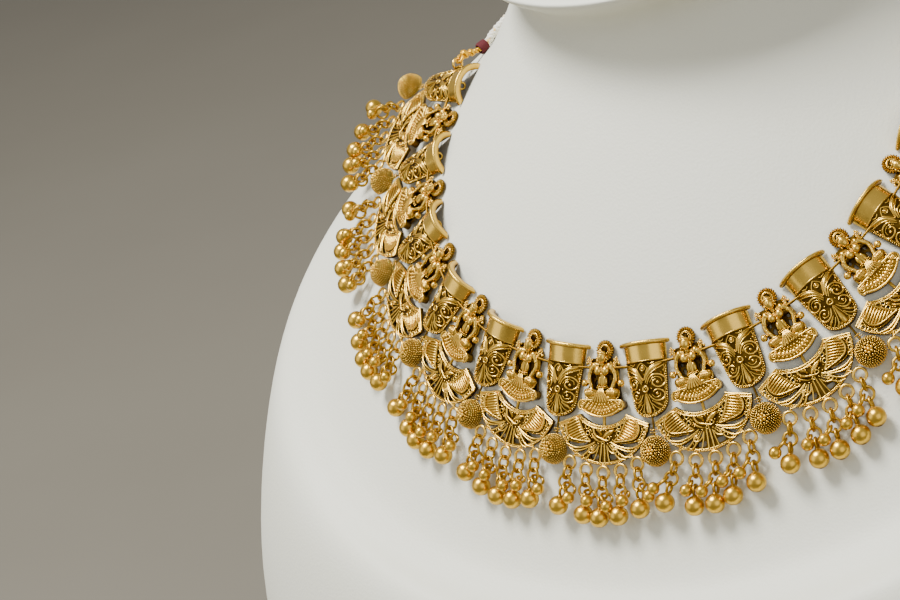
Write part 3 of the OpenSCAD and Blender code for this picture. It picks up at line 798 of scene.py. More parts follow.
def head(m):
    c = np.array([0.15, -1.85, 2.2])
    m.egg(c, (1.28, 1.5, 1.2), tone=1.0)
    m.egg(c + [0, -0.2, 1.16], (0.2, 0.38, 0.2), level=2)
    m.egg(c + [0, -0.74, 0.95], (0.33, 0.1, 0.15), level=1, tone=0.4)
    for s in (-1, 1):
        m.egg(c + [s * 0.46, 0.14, 1.02], (0.25, 0.1, 0.11), s * -8, 1, 0.2)
        m.egg(c + [s * 0.46, 0.42, 0.98], (0.31, 0.07, 0.12), s * -10, 1)
        m.balls([c + [s * 1.42, -0.3, 0.0], c + [s * 1.4, -0.95, -0.05]], [0.36, 0.3], 1)
    # crown over the forehead, with a tip and grains
    t = np.linspace(-1.35, 1.35, 9)
    m.tube(np.column_stack([c[0] + 1.22 * np.sin(t), c[1] + 0.75 + 0.15 * np.cos(t),
                            c[2] + 1.05 * np.cos(t)]), 0.22, 6)
    m.balls([c + [x, 1.15 + y, 0.95 - abs(x) * 0.4] for x, y in
             ((-0.85, -0.08), (-0.44, 0.1), (0.44, 0.1), (0.85, -0.08))], 0.22, 1)
    m.egg(c + [0, 1.4, 0.7], (0.34, 0.5, 0.34), level=2)
    # neck and necklaces
    m.egg((0.1, -3.5, 1.85), (0.62, 0.6, 0.55), level=2, tone=0.7)
    for r, y, z in ((0.95, -3.85, 2.25), (1.4, -4.1, 2.5)):
        t = np.linspace(pi * 1.08, pi * 1.92, 8)
        m.balls(np.stack([0.1 + r * np.cos(t), y + 0.6 * r * np.sin(t), np.full(8, z)], 1), 0.17, 1, 0.9)


def rosette(m, x, y, z):
    a = np.arange(7) * 2 * pi / 7
    m.balls([(x + 0.5 * cos(t), y + 0.5 * sin(t), z) for t in a], 0.27, 1)
    m.balls([(x, y, z + 0.22)], 0.3, 2)


def figure(m):
    halo(m)
    head(m)
    half = Metal(m.finish)
    # upper arm, raised forearm with a lotus, lower arm with an open palm
    half.tube(smooth([(0.9, -3.7, 1.4), (2.1, -3.75, 1.6), (3.2, -4.4, 1.7), (3.7, -5.3, 1.5)], 4),
              np.interp(np.linspace(0, 1, 13), [0, 0.4, 1], [0.55, 0.75, 0.6]), 8)
    half.balls([(2.3, -3.85, 1.8), (3.6, -5.15, 1.6)], [0.8, 0.66], 2)
    half.tube(smooth([(3.0, -4.3, 1.3), (3.7, -3.8, 1.35), (4.0, -3.1, 1.4)], 4), 0.4, 7)
    half.ring((3.75, -3.75, 1.35), 0.42, 0.12, (0.35, 1, 0), steps=12, sides=6)
    rosette(half, 4.15, -2.65, 1.45)
    half.balls([(4.15, -1.95, 1.3), (4.85, -3.35, 1.2), (3.35, -2.5, 1.2), (3.5, -3.2, 1.5)],
               [0.22, 0.36, 0.24, 0.26], 2)
    half.tube(smooth([(3.55, -5.0, 1.5), (3.95, -5.9, 1.5), (3.95, -7.0, 1.6), (3.5, -8.2, 1.75),
                      (3.15, -9.3, 1.9)], 4),
              np.interp(np.linspace(0, 1, 17), [0, 0.5, 1], [0.62, 0.58, 0.48]), 8)
    half.ring((3.9, -6.9, 1.6), 0.52, 0.12, (0.1, 1, -0.1), steps=12, sides=6)
    half.ring((3.6, -8.0, 1.75), 0.46, 0.11, (0.4, 1, -0.1), steps=12, sides=6)
    half.egg((3.1, -9.55, 2.1), (0.45, 0.62, 0.35), 10, 2)
    # chest and waist
    half.egg((1.2, -4.95, 1.85), (1.12, 1.12, 1.05))
    half.egg((0.7, -7.4, 1.2), (0.8, 1.6, 0.75), 6, 2, 0.8)
    half.egg((2.0, -4.0, 1.2), (0.9, 0.6, 0.6), -20, 2)
    # sash that frames the figure, and the ball on its stem
    half.tube(smooth([(2.0, -3.0, 0.9), (3.9, -4.5, 0.9), (4.6, -6.2, 0.9), (4.4, -7.6, 0.9)], 5),
              0.26, 6, 0.6)
    half.tube([(4.1, -7.8, 1.1), (4.8, -7.9, 1.1)], 0.3, 6, 0.6)
    half.balls([(5.55, -8.0, 1.25)], 0.98, 3)
    half.ring((4.65, -7.9, 1.1), 0.34, 0.14, (1, 0, 0), steps=12, sides=6)
    # folded leg with ribbed cloth
    half.egg((3.35, -10.55, 1.8), (2.15, 1.3, 1.4), 12, 3, 0.7)
    half.egg((2.0, -11.9, 1.8), (2.5, 0.8, 0.95), 6, 3, 0.75)
    for k in range(7):
        a = radians(-62 + 24 * k)
        path = []
        for t in np.linspace(-0.75, 0.75, 7):
            x, y = 3.3 + 1.75 * sin(a) * 0.62 + 0.25 * t, -10.55 + 1.15 * t
            u, v = (x - 3.3) / 2.0, (y + 10.55) / 1.22
            path.append((x, y, 1.82 + 1.42 * sqrt(max(0.0, 1 - u * u - v * v))))
        half.tube(path, 0.17, 6)
    half.tube(smooth([(1.3, -10.3, 2.3), (2.9, -9.5, 2.6), (4.7, -9.9, 2.3), (5.25, -10.9, 1.8),
                      (4.4, -12.1, 1.9), (2.4, -12.55, 2.4)], 4), 0.22, 6)
    half.balls([(4.6, -12.3, 2.0), (5.0, -11.7, 1.9)], [0.36, 0.28], 2)
    m.both(half)
    # body, girdle and the pleats that hang in the middle
    m.egg((0.05, -6.6, 1.3), (0.75, 3.2, 0.95), level=3, tone=0.8)
    m.tube([(0.05, -3.4, 1.9), (0.05, -4.6, 2.25), (0.05, -5.6, 2.2)], 0.17, 6)
    m.balls([(0.05, -5.75, 2.25)], 0.3, 2)
    for y, w in ((-8.7, 1.45), (-9.15, 1.6)):
        t = np.linspace(-1, 1, 11)
        m.balls(np.stack([0.05 + w * t, np.full(11, y) - 0.25 * (1 - t**2), 2.15 - 0.5 * t**2], 1), 0.19, 1)
    for k in range(7):
        t = (k - 3) / 3
        m.tube(smooth([(0.05 + 0.5 * t, -9.3, 2.3), (0.05 + 1.3 * t, -10.9, 2.75),
                       (0.05 + 2.6 * t, -12.9, 2.8 - 0.3 * abs(t))], 4),
               [0.14] * 2 + [0.2] * 3 + [0.27] * 4, 6)
    # black sheet under the pleats: painted shade between them
    m.slab([(-0.8, -9.4), (-2.5, -12.7), (2.6, -12.7), (0.9, -9.4)], [], 1.2, 2.45, (0.0, 0.0))


def crescent_low(x):
    return -12.9 + 5.5 - np.sqrt(np.clip(9.4**2 - np.asarray(x, float)**2, 0, None))


def seat(m):
    xs = np.linspace(-5.9, 5.9, 31)
    low = np.stack([xs, crescent_low(xs)], 1)
    right = arc(5.6, -13.75, 1.32, -62, 100, 12)
    left = (right * [-1, 1])[::-1]
    outline = np.vstack([low, right, left])
    m.slab(outline, [], 0.0, 2.15, (0.0, 0.4))
    m.tube(raised(outline, 2.3), 0.3, 7, closed=True)
    m.tube(raised(low, 1.2), 0.2, 6, 0.5)
    half = Metal(m.finish)
    for n, row in enumerate((0.75, 1.55, 2.35, 3.1)):
        for k in range(8):
            x = 0.92 * (k + 0.5 * (n % 2))
            y = crescent_low(x) + row + 0.02 * x * x
            if x > 6.4 - 0.3 * row or y > -12.7:
                continue
            half.balls([(x, y, 2.2)], 0.33, 2)
            if n == 1:
                half.ring((x, y, 2.25), 0.42, 0.1, steps=10, sides=5)
    half.ring((5.75, -13.6, 2.3), 0.62, 0.16, steps=12, sides=6)
    half.balls([(5.75, -13.6, 2.35)], 0.34, 2)
    m.both(half)
    m.tube([(0.2, -16.6, 0.8), (0.2, -20.2, 0.8)], 0.45, 8, 0.7)


# Fans.

def fan_openings():
    right = [
        smooth([(4.9, -24.2), (7.9, -24.7), (10.9, -24.0), (10.4, -25.3), (8, -25.9), (6, -25.3)], 3, True),
        smooth([(5.1, -26.2), (7.4, -27.3), (9.2, -27.0), (8.2, -28.2), (6.4, -27.9)], 3, True),
        smooth([(1.5, -28.0), (3.6, -27.9), (3.9, -29.0), (1.9, -29.4)], 3, True),
        arc(4.9, -19.7, 0.42, 0, 330, 11), arc(4.75, -21.6, 0.42, 0, 330, 11),
        arc(12.7, -20.4, 0.5, 0, 330, 11), arc(12.1, -22.3, 0.45, 0, 330, 11),
        smooth([(1.6, -24.6), (3.2, -25.0), (3.9, -25.9), (2.3, -26.3)], 3, True),
    ]
    return right + [(p * [-1, 1])[::-1] for p in right]


def fan_outline():
    rim = arc(0, -17, 13.95, -9.5, -170.5, 60)
    inner = arc(0, -9.5, 9.75, 180 + 44.5, 360 - 44.5, 30)
    return np.vstack([rim, [(-13.9, -18.65), (-7.0, -16.2)], inner, [(7.0, -16.2), (13.9, -18.65)]])


def fan(m):
    m.slab(fan_outline(), fan_openings(), 0.0, 0.9, (0.1, 0.08))
    rim = arc(0, -17, 13.35, -8.5, -171.5, 90)
    m.tube(raised(rim, 0.95), 0.2, 6, 0.9)
    beads = spaced(arc(0, -17, 13.75, -8, -172, 120), 0.5)
    m.balls(raised(beads, 1.0), 0.27, 1)
    for r, w in ((10.05, 0.2), (10.85, 0.22)):
        inner = arc(0, -9.5, r, 180 + 44 + (r - 10) * 3, 360 - 44 - (r - 10) * 3, 50)
        m.tube(raised(inner, 1.05), w, 6)
    beads = spaced(arc(0, -9.5, 10.45, 180 + 44, 360 - 44, 80), 0.42)
    m.balls(raised(beads, 1.1), 0.22, 1)
    half = Metal(m.finish)

    def stroke(points, r, z=1.0, per=4):
        path = smooth(points, per)
        path = raised(path, z)
        width = r if np.ndim(r) == 0 else np.interp(np.linspace(0, 1, len(path)),
                                                    np.linspace(0, 1, len(r)), r)
        half.tube(path, width)

    # straight shoulders
    for d, w in ((0.15, 0.3), (0.95, 0.26), (0.55, 0.14)):
        stroke([(7.0, -16.25 - d), (10.4, -17.45 - d), (13.75, -18.6 - d)], w, 1.05, 3)
    # paisley: bed, edge and ribs
    edge = smooth([(7.45, -17.6), (8.6, -17.35), (9.9, -17.75), (10.9, -18.9), (11.2, -20.4),
                   (10.8, -22.0), (9.7, -23.1), (8.0, -23.6), (5.8, -23.9), (3.7, -24.0),
                   (4.9, -22.6), (5.9, -20.9), (6.7, -19.2)], 4, True)
    half.slab(edge, [], 0.5, 1.3, (0.2, 0.5))
    closed_edge = raised(edge, 1.5)
    half.tube(closed_edge, 0.27, 7, closed=True)
    along = unit(np.array([7.9 - 4.3, -17.9 + 23.6]))
    across = np.array([cos(radians(-24)), sin(radians(-24))])
    for k in range(9):
        middle = np.array([4.75, -23.25]) + along * (0.8 * k)
        ts = np.linspace(-3, 7, 201)
        line = middle + across * ts[:, None]
        inside = []
        for x, y in line:
            a, b = edge, np.roll(edge, -1, 0)
            cross = (a[:, 1] > y) != (b[:, 1] > y)
            with np.errstate(divide="ignore", invalid="ignore"):
                hit = x < (b[:, 0] - a[:, 0]) * (y - a[:, 1]) / (b[:, 1] - a[:, 1]) + a[:, 0]
            inside.append(np.sum(cross & hit) % 2 == 1)
        inside = np.array(inside)
        if inside.sum() < 12:
            continue
        t0, t1 = ts[inside][0] + 0.1, ts[inside][-1] - 0.12
        t = np.linspace(t0, t1, 8)
        bow = 0.38 * np.sqrt(np.clip(1 - ((t - t0) / (t1 - t0) * 2 - 1)**2, 0, 1))
        rib = np.column_stack([middle + across * t[:, None], 1.3 + bow])
        half.tube(rib, 0.23, 6)
    outer = smooth([(11.5, -18.6), (11.9, -20.4), (11.4, -22.4), (10.1, -23.8), (8.1, -24.3),
                    (5.4, -24.5)], 5)
    beads = spaced(outer, 0.4)
    half.balls(raised(beads, 1.15), 0.19, 1)
    # loops with holes
    for x, y, r, w in ((4.9, -19.7, 0.6, 0.2), (4.75, -21.6, 0.62, 0.2), (12.75, -20.4, 0.68, 0.2),
                       (12.1, -22.3, 0.62, 0.19), (11.2, -23.7, 0.45, 0.18)):
        half.ring((x, y, 1.05), r, w, steps=14, sides=6)
    stroke([(4.2, -18.9), (5.6, -18.5), (6.4, -17.9)], 0.2)
    stroke([(3.6, -21.2), (4.0, -20.6), (4.3, -20.6)], 0.18)
    half.balls([(13.1, -19.6, 1.0), (12.9, -21.4, 1.0), (11.7, -23.2, 1.0), (6.4, -18.6, 1.0),
                (5.8, -20.3, 1.1), (3.9, -22.5, 1.1)], [0.26, 0.24, 0.22, 0.26, 0.22, 0.24], 2)
    # long rays that curve out to the rim, and bird-like curls between them
    rays = [
        ([(2.4, -24.2), (5.0, -25.4), (8.4, -25.9), (11.4, -24.7)], [0.16, 0.3, 0.34, 0.12]),
        ([(2.6, -24.5), (5.2, -26.1), (8.2, -26.8), (10.6, -26.0)], [0.14, 0.24, 0.28, 0.12]),
        ([(2.2, -24.8), (4.2, -26.6), (6.6, -28.4), (9.0, -28.4)], [0.14, 0.26, 0.34, 0.14]),
        ([(1.8, -25.0), (3.4, -27.0), (5.0, -28.9), (6.9, -29.3)], [0.14, 0.24, 0.28, 0.12]),
    ]
    for points, widths in rays:
        stroke(points, widths, 1.15, 5)
    stroke([(1.5, -25.6), (2.2, -26.9), (3.5, -27.5), (4.4, -26.9), (4.2, -26.0), (3.3, -25.8),
            (2.8, -26.4)], [0.14, 0.28, 0.3, 0.26, 0.2, 0.16, 0.14], 1.2, 4)
    half.balls([(3.4, -26.5, 1.2), (2.9, -25.4, 1.1), (1.5, -24.7, 1.1), (4.9, -27.9, 1.0)],
               [0.34, 0.28, 0.26, 0.22], 2)
    m.both(half)
    # middle of the fan: veined leaf, ribbon, small loop and the rays to the rim
    one = Metal(m.finish)
    one.petal(smooth([(-0.1, -23.3), (0.8, -22.3), (2.0, -21.4), (3.7, -20.5)], 5),
              np.interp(np.linspace(0, 1, 16), [0, 0.45, 0.75, 1], [0.1, 0.85, 0.8, 0.1]), 0.75, 0.9,
              (0.4, 1.0), 8)
    vein = smooth([(0.1, -23.1), (1.9, -21.5), (3.5, -20.7)], 5)
    one.tube(np.column_stack([vein, 1.65 + 0.1 * np.sin(np.linspace(0, pi, 11))]), 0.12, 6)
    for k, t in enumerate((0.3, 0.5, 0.7)):
        x, y = 0.1 + 3.4 * t, -23.1 + 2.4 * t + 0.25
        for s in (-1, 1):
            one.tube([(x, y, 1.6), (x + 0.1 + s * -0.35, y + 0.1 + s * 0.5, 1.35)], 0.1, 6)
    ribbon = smooth([(-2.9, -20.0), (-2.6, -21.3), (-1.9, -22.4), (-0.6, -23.1), (0.4, -23.5),
                     (1.3, -23.9)], 5)
    one.tube(raised(ribbon, 1.35),
             np.interp(np.linspace(0, 1, len(ribbon)), [0, 0.3, 1], [0.26, 0.36, 0.26]), 7)
    one.petal(smooth([(-1.9, -20.4), (-1.1, -21.2), (-0.5, -22.2)], 4), np.linspace(0.7, 0.25, 9),
              0.5, 0.9, (0.2, 0.7))
    one.petal(smooth([(-3.6, -21.6), (-2.9, -22.8), (-1.6, -23.9), (-0.6, -24.3)], 4),
              [0.1, 0.2, 0.3, 0.38, 0.42, 0.42, 0.4, 0.36, 0.3, 0.24, 0.18, 0.13, 0.1], 0.5, 0.9,
              (0.2, 0.8))
    one.ring((1.55, -23.2, 1.2), 0.55, 0.2, steps=14, sides=6)
    one.ring((0.0, -24.3, 1.15), 0.42, 0.17, steps=12, sides=6)
    one.balls([(0.9, -20.8, 1.1), (0.1, -20.7, 1.1), (-0.7, -20.9, 1.1), (2.6, -22.6, 1.2),
               (3.0, -23.6, 1.1), (-3.4, -23.0, 1.1)], 0.26, 2)
    for points, w in (([(-0.45, -24.8), (-0.6, -27.0), (-1.0, -30.2)], 0.22),
                      ([(0.45, -24.8), (0.5, -27.2), (0.55, -30.4)], 0.24),
                      ([(1.2, -25.2), (1.5, -27.6), (2.0, -30.2)], 0.2),
                      ([(-1.3, -25.2), (-1.9, -27.4), (-2.9, -29.8)], 0.2)):
        path = smooth(points, 5)
        one.tube(raised(path, 1.1), w, 6)
    m.join(np.vstack(one.points), np.concatenate(one.tones), one.faces)


EYE_X = [-10.5, -5.4, 0, 5.4, 10.5]
EYE_REACH = [1.4, 0.6, 0.4, 0.6, 1.4]


def eye_point(k):
    x, r = EYE_X[k], 14 + RING_R + EYE_REACH[k]
    return np.array([x, -17 - sqrt(r * r - x * x), 1.0])


def eyes(m):
    for k in range(5):
        eye = eye_point(k)
        out = unit(eye - [0, -17, 1.0])
        m.ring(eye, RING_R + 0.12, 0.43, steps=24, sides=7)
        m.tube([np.array([0, -17, 0.6]) + out * 13.4, eye - out * (RING_R - 0.05)], 0.4, 8, 0.6)


def goddess_back(m):
    outline = [(-3.6, -2.2), (-4.6, -3.4), (-4.3, -6), (-4.7, -9), (-5.6, -12.9), (5.6, -12.9),
               (4.7, -9), (4.3, -6), (4.6, -3.4), (3.6, -2.2)]
    hole = smooth([(2.1, -7.1), (2.75, -7.6), (2.7, -8.5), (2.1, -8.9), (1.85, -8.0)], 3, True)
    top = smooth([(2.4, -5.7), (2.95, -5.9), (3.0, -6.7), (2.4, -6.6)], 3, True)
    openings = [hole, top, (hole * [-1, 1])[::-1], (top * [-1, 1])[::-1]]
    m.slab(outline, openings, 0.0, 0.75, (0.1, 0.06))
    m.tube([(-3.9, -5.2, 1.15), (3.9, -5.2, 1.15)], 0.75, 8, 0.05)


# Bead fringe.

CHAIN_Z = 0.6
CHAIN_R, LINK_WIRE = 1.75, 0.42
SPLAY = [-11, -1, 0, 2, 7]
LINK_STEP = 2 * WIRE_R + LINK_GAP
LINK_Y = 2 * CHAIN_R - LINK_STEP
FRONT_Y = LINK_Y + 2 * CHAIN_R - LINK_STEP
LOOP_TOP = FRONT_Y + CHAIN_R - LINK_STEP
LOOP_R = CHAIN_R * 0.9
BEAD_Y = LOOP_TOP + 2 * LOOP_R + BEAD_R - WIRE_R
BEAD_Z = BEAD_R - 0.15 - 1.0
SMALL_OFFSET = [(3.4, 3.0, 3.0), (2.2, 3.6, 3.3), (3.0, 3.2, 3.0), (1.9, 4.0, 2.6), (3.6, 2.9, 2.4)]


def bead(m, centre, r, hole, axis=(0, 1, 0)):
    """A drilled ball: a surface of revolution that turns in at its holes."""
    a0 = np.arcsin(hole / r)
    a = np.linspace(a0, pi - a0, 13)
    prof = np.stack([r * np.sin(a), r * np.cos(a)], 1)
    inner = np.array([[hole * 0.9, -r * cos(a0) + 0.06], [hole * 0.8, -r * 0.5], [hole * 0.8, r * 0.5],
                      [hole * 0.9, r * cos(a0) - 0.06]])
    prof = np.vstack([prof, inner, prof[:1]])
    tone = np.concatenate([np.full(13, 0.95), [0.3, 0.0, 0.0, 0.3], [0.95]])
    tone[0] = tone[12] = tone[-1] = 0.6
    phi = np.arange(22) * 2 * pi / 22
    axis = unit(axis)
    u = unit(np.cross(axis, (0, 0, 1) if abs(axis[2]) < 0.9 else (1, 0, 0)))
    v = np.cross(axis, u)
    ring = np.cos(phi)[:, None] * u + np.sin(phi)[:, None] * v
    points = prof[:, 0, None, None] * ring[None] + prof[:, 1, None, None] * axis + centre
    m.grid(points, tone[:, None], around=True)


def drop(k):
    m = Metal()
    m.ring((0, -LINK_Y, CHAIN_Z / 2), CHAIN_R, LINK_WIRE, (1, 0, 0), 20, 7, 0.72)
    m.ring((0, -FRONT_Y, CHAIN_Z), CHAIN_R, LINK_WIRE, (0, 0, 1), 20, 7, 0.78)
    m.ring((0, -LOOP_TOP - LOOP_R, CHAIN_Z), LOOP_R, LINK_WIRE, (1, 0, 0), 20, 7, 0.72)
    bead(m, np.array([0, -BEAD_Y, BEAD_Z]), BEAD_R, BEAD_HOLE)
    # collar where the loop enters the ball
    m.ring((0, -BEAD_Y + BEAD_R - 0.1, BEAD_Z), 0.62, 0.16, (0, 1, 0), 16, 6, 0.8)
    place = np.array([SMALL_OFFSET[k][0], SMALL_OFFSET[k][1] - BEAD_Y, SMALL_OFFSET[k][2]])
    hook = np.array([CHAIN_R * cos(radians(20)), -FRONT_Y - CHAIN_R * sin(radians(20)), CHAIN_Z])
    along = np.array([-sin(radians(20)), -cos(radians(20)), 0])
    span = np.linalg.norm(place - hook)
    u = (place - hook) / span
    w = unit(np.cross(along, u))
    n = np.cross(u, w)
    loop = (span - SMALL_R + LINK_STEP + WIRE_R) / 2
    m.ring(hook + u * (loop - LINK_STEP), loop, LINK_WIRE, n, 20, 7, 0.72)
    m.egg(place, (SMALL_R,) * 3, level=3, tone=0.95)
    m.ring(place - u * (SMALL_R - 0.05), 0.42, 0.15, u, 12, 6, 0.8)
    return np.vstack(m.points), np.concatenate(m.tones), m.faces


DROPS = [drop(k) for k in range(5)]


def fringe(i):
    m = Metal()
    swing = SWING[i - 1]
    side = -1 if swing < 0 else 1
    for k in range(5):
        points, tones, faces = DROPS[k]
        splay = SPLAY[k if side > 0 else 4 - k] * (1 + 0.15 * abs(i - 6)) + 2 * sin(3 * i + 2.3 * k)
        turn = rot_z(radians(abs(swing) + splay * side))
        placed = (points @ turn.T + eye_point(k)) * [side, 1, 1]
        m.join(placed, tones, [f[:, ::side] for f in faces])
    return m


# Bust and cord.

def bust_mesh():
    m = Metal()
    sides = 144
    per = 12
    rows = []
    for t in np.linspace(0, 6, 6 * per + 1):
        reach = 0.55 * min(1, max(0, (t - 2.55) / 0.6)) * min(1, (6 - t) / 0.8)
        near = [bust_row(min(6, t + reach * u)) * cos(u * pi / 2.2) for u in np.linspace(-1, 1, 11)]
        share = sum(cos(u * pi / 2.2) for u in np.linspace(-1, 1, 11))
        rows.append(bust_ring(sum(near) / share, sides))
    top = BUST_ROWS[0]
    edge = []
    for a in np.linspace(0, 1, 6)[1:]:
        inset = 3.2 * (1 - cos(a * pi / 2))
        lift = 1.5 * sin(a * pi / 2)
        edge.append([top[0] - inset, top[1] - inset, top[2], top[3] + lift, top[4]])
    for share in (0.94, 0.8, 0.6, 0.4, 0.2, 0.05):
        edge.append([(top[0] - 3.2) * share, (top[1] - 3.2) * share, top[2], top[3] + 1.5,
                     top[4] * share])
    rows = [bust_ring(e, sides) for e in edge[::-1]] + rows
    last = rows[-1]
    rows += [last * [0.995, 0.995, 1], last * [0.5, 0.5, 1]]
    m.grid(np.array(rows), 1.0, around=True, cap=True)
    return m


CORD_HALF = [(-72.5, 31, 232), (-68.5, 35.5, 235.5), (-64.5, 38.5, 238.5), (-57, 45.5, 242.5),
             (-43, 53.5, 247.5), (-22.5, 60, 251.5), (0, 62, 253)]
KNOT, GOLD_BEND = (-78, 20.5, 229), (-76.6, 23, 228.6)
BINDING_FROM, BINDING_TO = (-75.6, 24.8, 228.6), (-74.2, 27.4, 229.4)
JOINT = tuple((np.array(BINDING_FROM) + BINDING_TO) / 2)


def cord_keys():
    half = np.array([JOINT, BINDING_TO] + CORD_HALF)
    return np.vstack([half, (half * [-1, 1, 1])[::-1][1:]])


def twisted(m, path, r, strands, pitch, sides=7, lump=0.0, tone=(0.2, 1.0)):
    """Strands laid round a path."""
    p = spaced(path, 0.6)
    run = np.concatenate([[0], np.cumsum(np.linalg.norm(np.diff(p, axis=0), axis=1))])
    t = unit(np.gradient(p, axis=0))
    a = unit(np.cross(t, (0.05, 0.1, 1)))
    b = np.cross(t, a)
    lay = r * 0.5
    for k in range(strands):
        phase = 2 * pi * (run / pitch + k / strands)
        swell = 1 + lump * np.sin(run * 5.1 + k * 2.1) * np.sin(run * 1.7 + k)
        line = p + lay * swell[:, None] * (np.cos(phase)[:, None] * a + np.sin(phase)[:, None] * b)
        n = np.cos(phase)[:, None] * a + np.sin(phase)[:, None] * b
        m.tube(line, (r - lay) * 0.98 * swell, sides, tone[1], up=n)


def neck_cord():
    m = Metal()
    twisted(m, smooth(cord_keys(), 8), 1.3, 3, 4.2, 8, 0.12)
    return m


def gold_thread():
    """Wound thread from the binding, a lumpy knot, and the loop through the end ring."""
    m = Metal(zari)
    path = smooth([KNOT, GOLD_BEND, BINDING_FROM, JOINT], 8)
    twisted(m, path, 1.0, 2, 2.6, 8)
    k = np.array(KNOT)
    for step, size in ((0.0, 1.0), (1.0, 0.85)):
        centre = k + step * unit(np.array(GOLD_BEND) - k) * 2.3
        for axis, r in (((0.4, 0.8, 0.4), 1.05), ((0.9, -0.2, 0.5), 0.95), ((-0.3, 0.5, 0.9), 1.0)):
            m.ring(centre, r * size, 0.5 * size, axis, 18, 7, 0.9)
        m.balls([centre], 1.0 * size, 2, 0.5)
    place = on_line(plate_phi(1))
    loop_r, wire = RING_R * 0.8, 0.5
    c = np.array([0.4 + wire + 0.25 - loop_r - 6.6 - RING_R, -8, 1.9])
    a = np.arange(24) * 2 * pi / 24
    ring = np.stack([c[0] + loop_r * np.cos(a), c[1] + loop_r * np.sin(a), np.full(24, c[2])], 1)
    world = place(ring) + [0, CENTRE_Y, 0]
    up = unit(place([[0, 0, 1.0]])[0] - place([[0, 0, 0.0]])[0])
    m.tube(world, wire, 8, 0.9, closed=True, up=up)
    return m


def red_binding():
    m = Metal()
    a, b = np.array(BINDING_FROM), np.array(BINDING_TO)
    axis = unit(b - a)
    middle = (a + b) / 2
    u = unit(np.cross(axis, (0, 0, 1)))
    v = np.cross(axis, u)
    phi = np.arange(28) * 2 * pi / 28
    profile = [(-1.5, 1.4)]
    for k in range(29):
        t = -1.5 + 3.0 * k / 28
        profile.append((t, 1.78 + 0.16 * abs(sin(k * pi / 4 + 0.4)) - 0.25 * (t / 1.5)**4))
    profile += [(1.5, 1.4), (1.5, 1.35), (-1.5, 1.35), (-1.5, 1.4)]
    rows = [middle + axis * t + r * (np.cos(phi)[:, None] * u + np.sin(phi)[:, None] * v)
            for t, r in profile]
    tones = [1.0 - 0.5 * (k % 4 == 0) for k in range(len(rows))]
    m.grid(np.array(rows)[::-1], np.array(tones)[:, None], around=True)
    return m


def stringing_wire():
    """The hidden wire through the plates and units, with a ring at each end."""
    m = Metal()
    end = np.array([-6.6, -8, 1.9])
    path = [on_line(plate_phi(1))([end + [RING_R, 0, 0], [-5.7, -6.8, 1.7], [-5.7, -5.5, 1.3]])]
    for i in range(1, PLATES + 1):
        path.append(on_line(plate_phi(i))([(-4.8, -5.2, 1.3), (4.8, -5.2, 1.3)]))
        if i < PLATES:
            path.append(on_line(unit_phi(i))([(-3.9, -5.2, 1.3), (3.9, -5.2, 1.3)]))
    path.append((path[0] * [-1, 1, 1])[::-1])
    path = np.vstack(path)
    up = unit(on_line(0)([[0, 0, 1.0]])[0] - on_line(0)([[0, 0, 0.0]])[0])
    m.tube(path, 0.4, 8, 0.3, up=up)
    for i, side in ((1, 1), (PLATES, -1)):
        place = on_line(plate_phi(i))
        centre = place([end * [side, 1, 1]])[0]
        axis = place([end * [side, 1, 1] + [0, 1.0, 0]])[0] - centre
        m.ring(centre, RING_R, 0.4, axis, 24, 8)
    m.points = [p + [0, CENTRE_Y, 0] for p in m.points]
    return m


def flipped(m):
    other = Metal()
    other.points = [p * [-1, 1, 1] for p in m.points]
    other.tones = m.tones
    other.faces = [f[:, ::-1] for f in m.faces]
    return other


# Putting it together.

gold = antique_gold("antique_gold_plating")
bead_gold = antique_gold("satin_bead_gold", (0.03, 0.012, 0.001), (0.24, 0.12, 0.006),
                         (0.7, 0.43, 0.055), 0.28)
cord_white = thread("flecked_white_cord", (0.45, 0.42, 0.34), (0.8, 0.77, 0.68), (0.75, 0.5, 0.15))
zari = thread("wound_gold_thread", (0.2, 0.09, 0.002), (0.8, 0.43, 0.012), None, 0.75, 0.4)
red = thread("wound_red_thread", (0.02, 0.0008, 0.002), (0.09, 0.002, 0.006), None, 0.0, 0.85)


def finished(m, name, place, material, node):
    obj = m.mesh(name, place, material)
    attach(obj, "root")
    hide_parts(node)
    return obj


def add_cord():
    for side, threads, binding in (("left", gold_thread(), red_binding()),
                                   ("right", flipped(gold_thread()), flipped(red_binding()))):
        finished(threads, "thread_" + side, whole_frame, zari,
                              "gold_thread_" + side)
        finished(binding, "binding_" + side, whole_frame, red,
                              "red_binding_" + side)
    cord = finished(neck_cord(), "cord_behind_neck", whole_frame, cord_white, "neck_cord")
    route = whole_frame(smooth(cord_keys(), 8)) / 1000


add_cord()
finished(bust_mesh(), "bust_cover", whole_frame, leatherette(), "neck_bust")

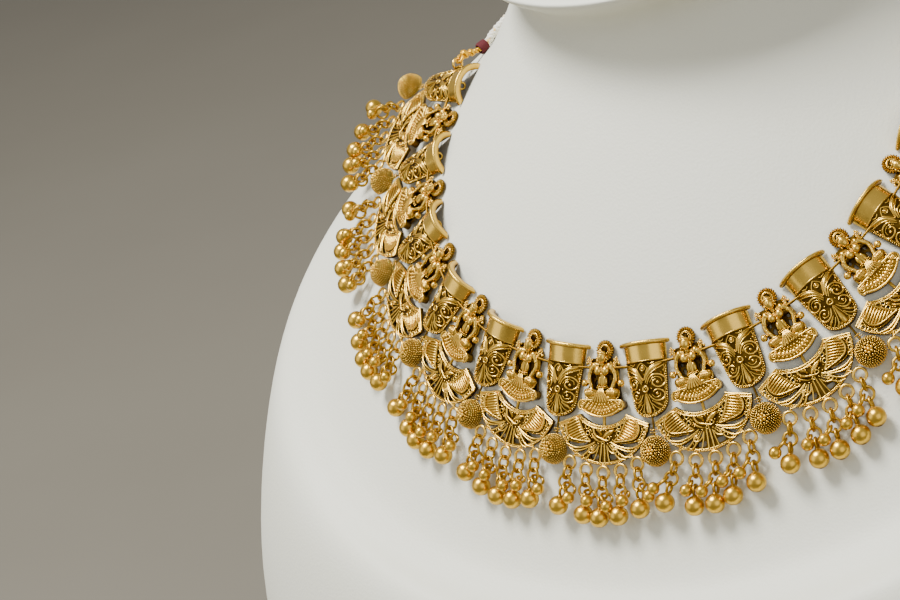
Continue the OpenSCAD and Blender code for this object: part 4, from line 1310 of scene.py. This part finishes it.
plate = Metal(gold)
plate_shell(plate)
plate_shade_back(plate)
plate_rim(plate)
plate_ornament(plate)
dome(plate)
unit_metal = Metal(gold)
goddess_back(unit_metal)
figure(unit_metal)
seat(unit_metal)
fan(unit_metal)
for points in unit_metal.points:
    points[:, 1] -= np.interp(-points[:, 1], [-3, 1.5, 5, 8, 17, 19.5, 23, 27, 30],
                              [0.3, 0.4, 1.15, 1.35, 1.25, 1.15, 0.75, 0.35, 0])
eyes(unit_metal)

for i in range(1, PLATES + 1):
    finished(plate, f"plate_and_dome_{i}", on_line(plate_phi(i)), gold,
             f"arch_plate_{i}")
for i in range(1, UNITS + 1):
    finished(unit_metal, f"goddess_and_fan_{i}", on_line(unit_phi(i)), gold,
             f"goddess_unit_{i}")
    finished(fringe(i), f"fringe_{i}", on_line(unit_phi(i)), bead_gold,
             f"bead_fringe_{i}")

finished(stringing_wire(), "hidden_stringing_wire", whole_frame, gold, "stringing_wire")


# Floor, light and sky.

def add_floor():
    mesh = bpy.data.meshes.new("floor")
    mesh.from_pydata([(-6, -4, 0), (6, -4, 0), (6, 12, 0), (-6, 12, 0)], [], [(0, 1, 2, 3)])
    floor = bpy.data.objects.new("floor", mesh)
    bpy.context.scene.collection.objects.link(floor)
    mesh.materials.append(floor_paper())


def add_light(name, place, aim, size, power, colour=(1, 1, 1)):
    data = bpy.data.lights.new(name, "AREA")
    data.shape = "RECTANGLE"
    data.size, data.size_y = size
    data.energy = power
    data.color = colour
    lamp = bpy.data.objects.new(name, data)
    lamp.location = place
    lamp.rotation_euler = (Vector(aim) - Vector(place)).to_track_quat("-Z", "Y").to_euler()
    bpy.context.scene.collection.objects.link(lamp)


add_floor()
world = bpy.data.worlds.new("soft_room")
world.use_nodes = True
world.node_tree.nodes["Background"].inputs["Color"].default_value = (1, 0.985, 0.95, 1)
world.node_tree.nodes["Background"].inputs["Strength"].default_value = 0.5
bpy.context.scene.world = world
CENTRE = (0, 0, 0.18)
add_light("window", (-0.4, -0.35, 1.4), CENTRE, (0.5, 0.5), 41)
add_light("left_wall", (-1.15, -1.15, 0.7), CENTRE, (1.3, 1.3), 7)
add_light("right_wall", (1.3, -0.9, 0.7), CENTRE, (1.4, 1.4), 8)
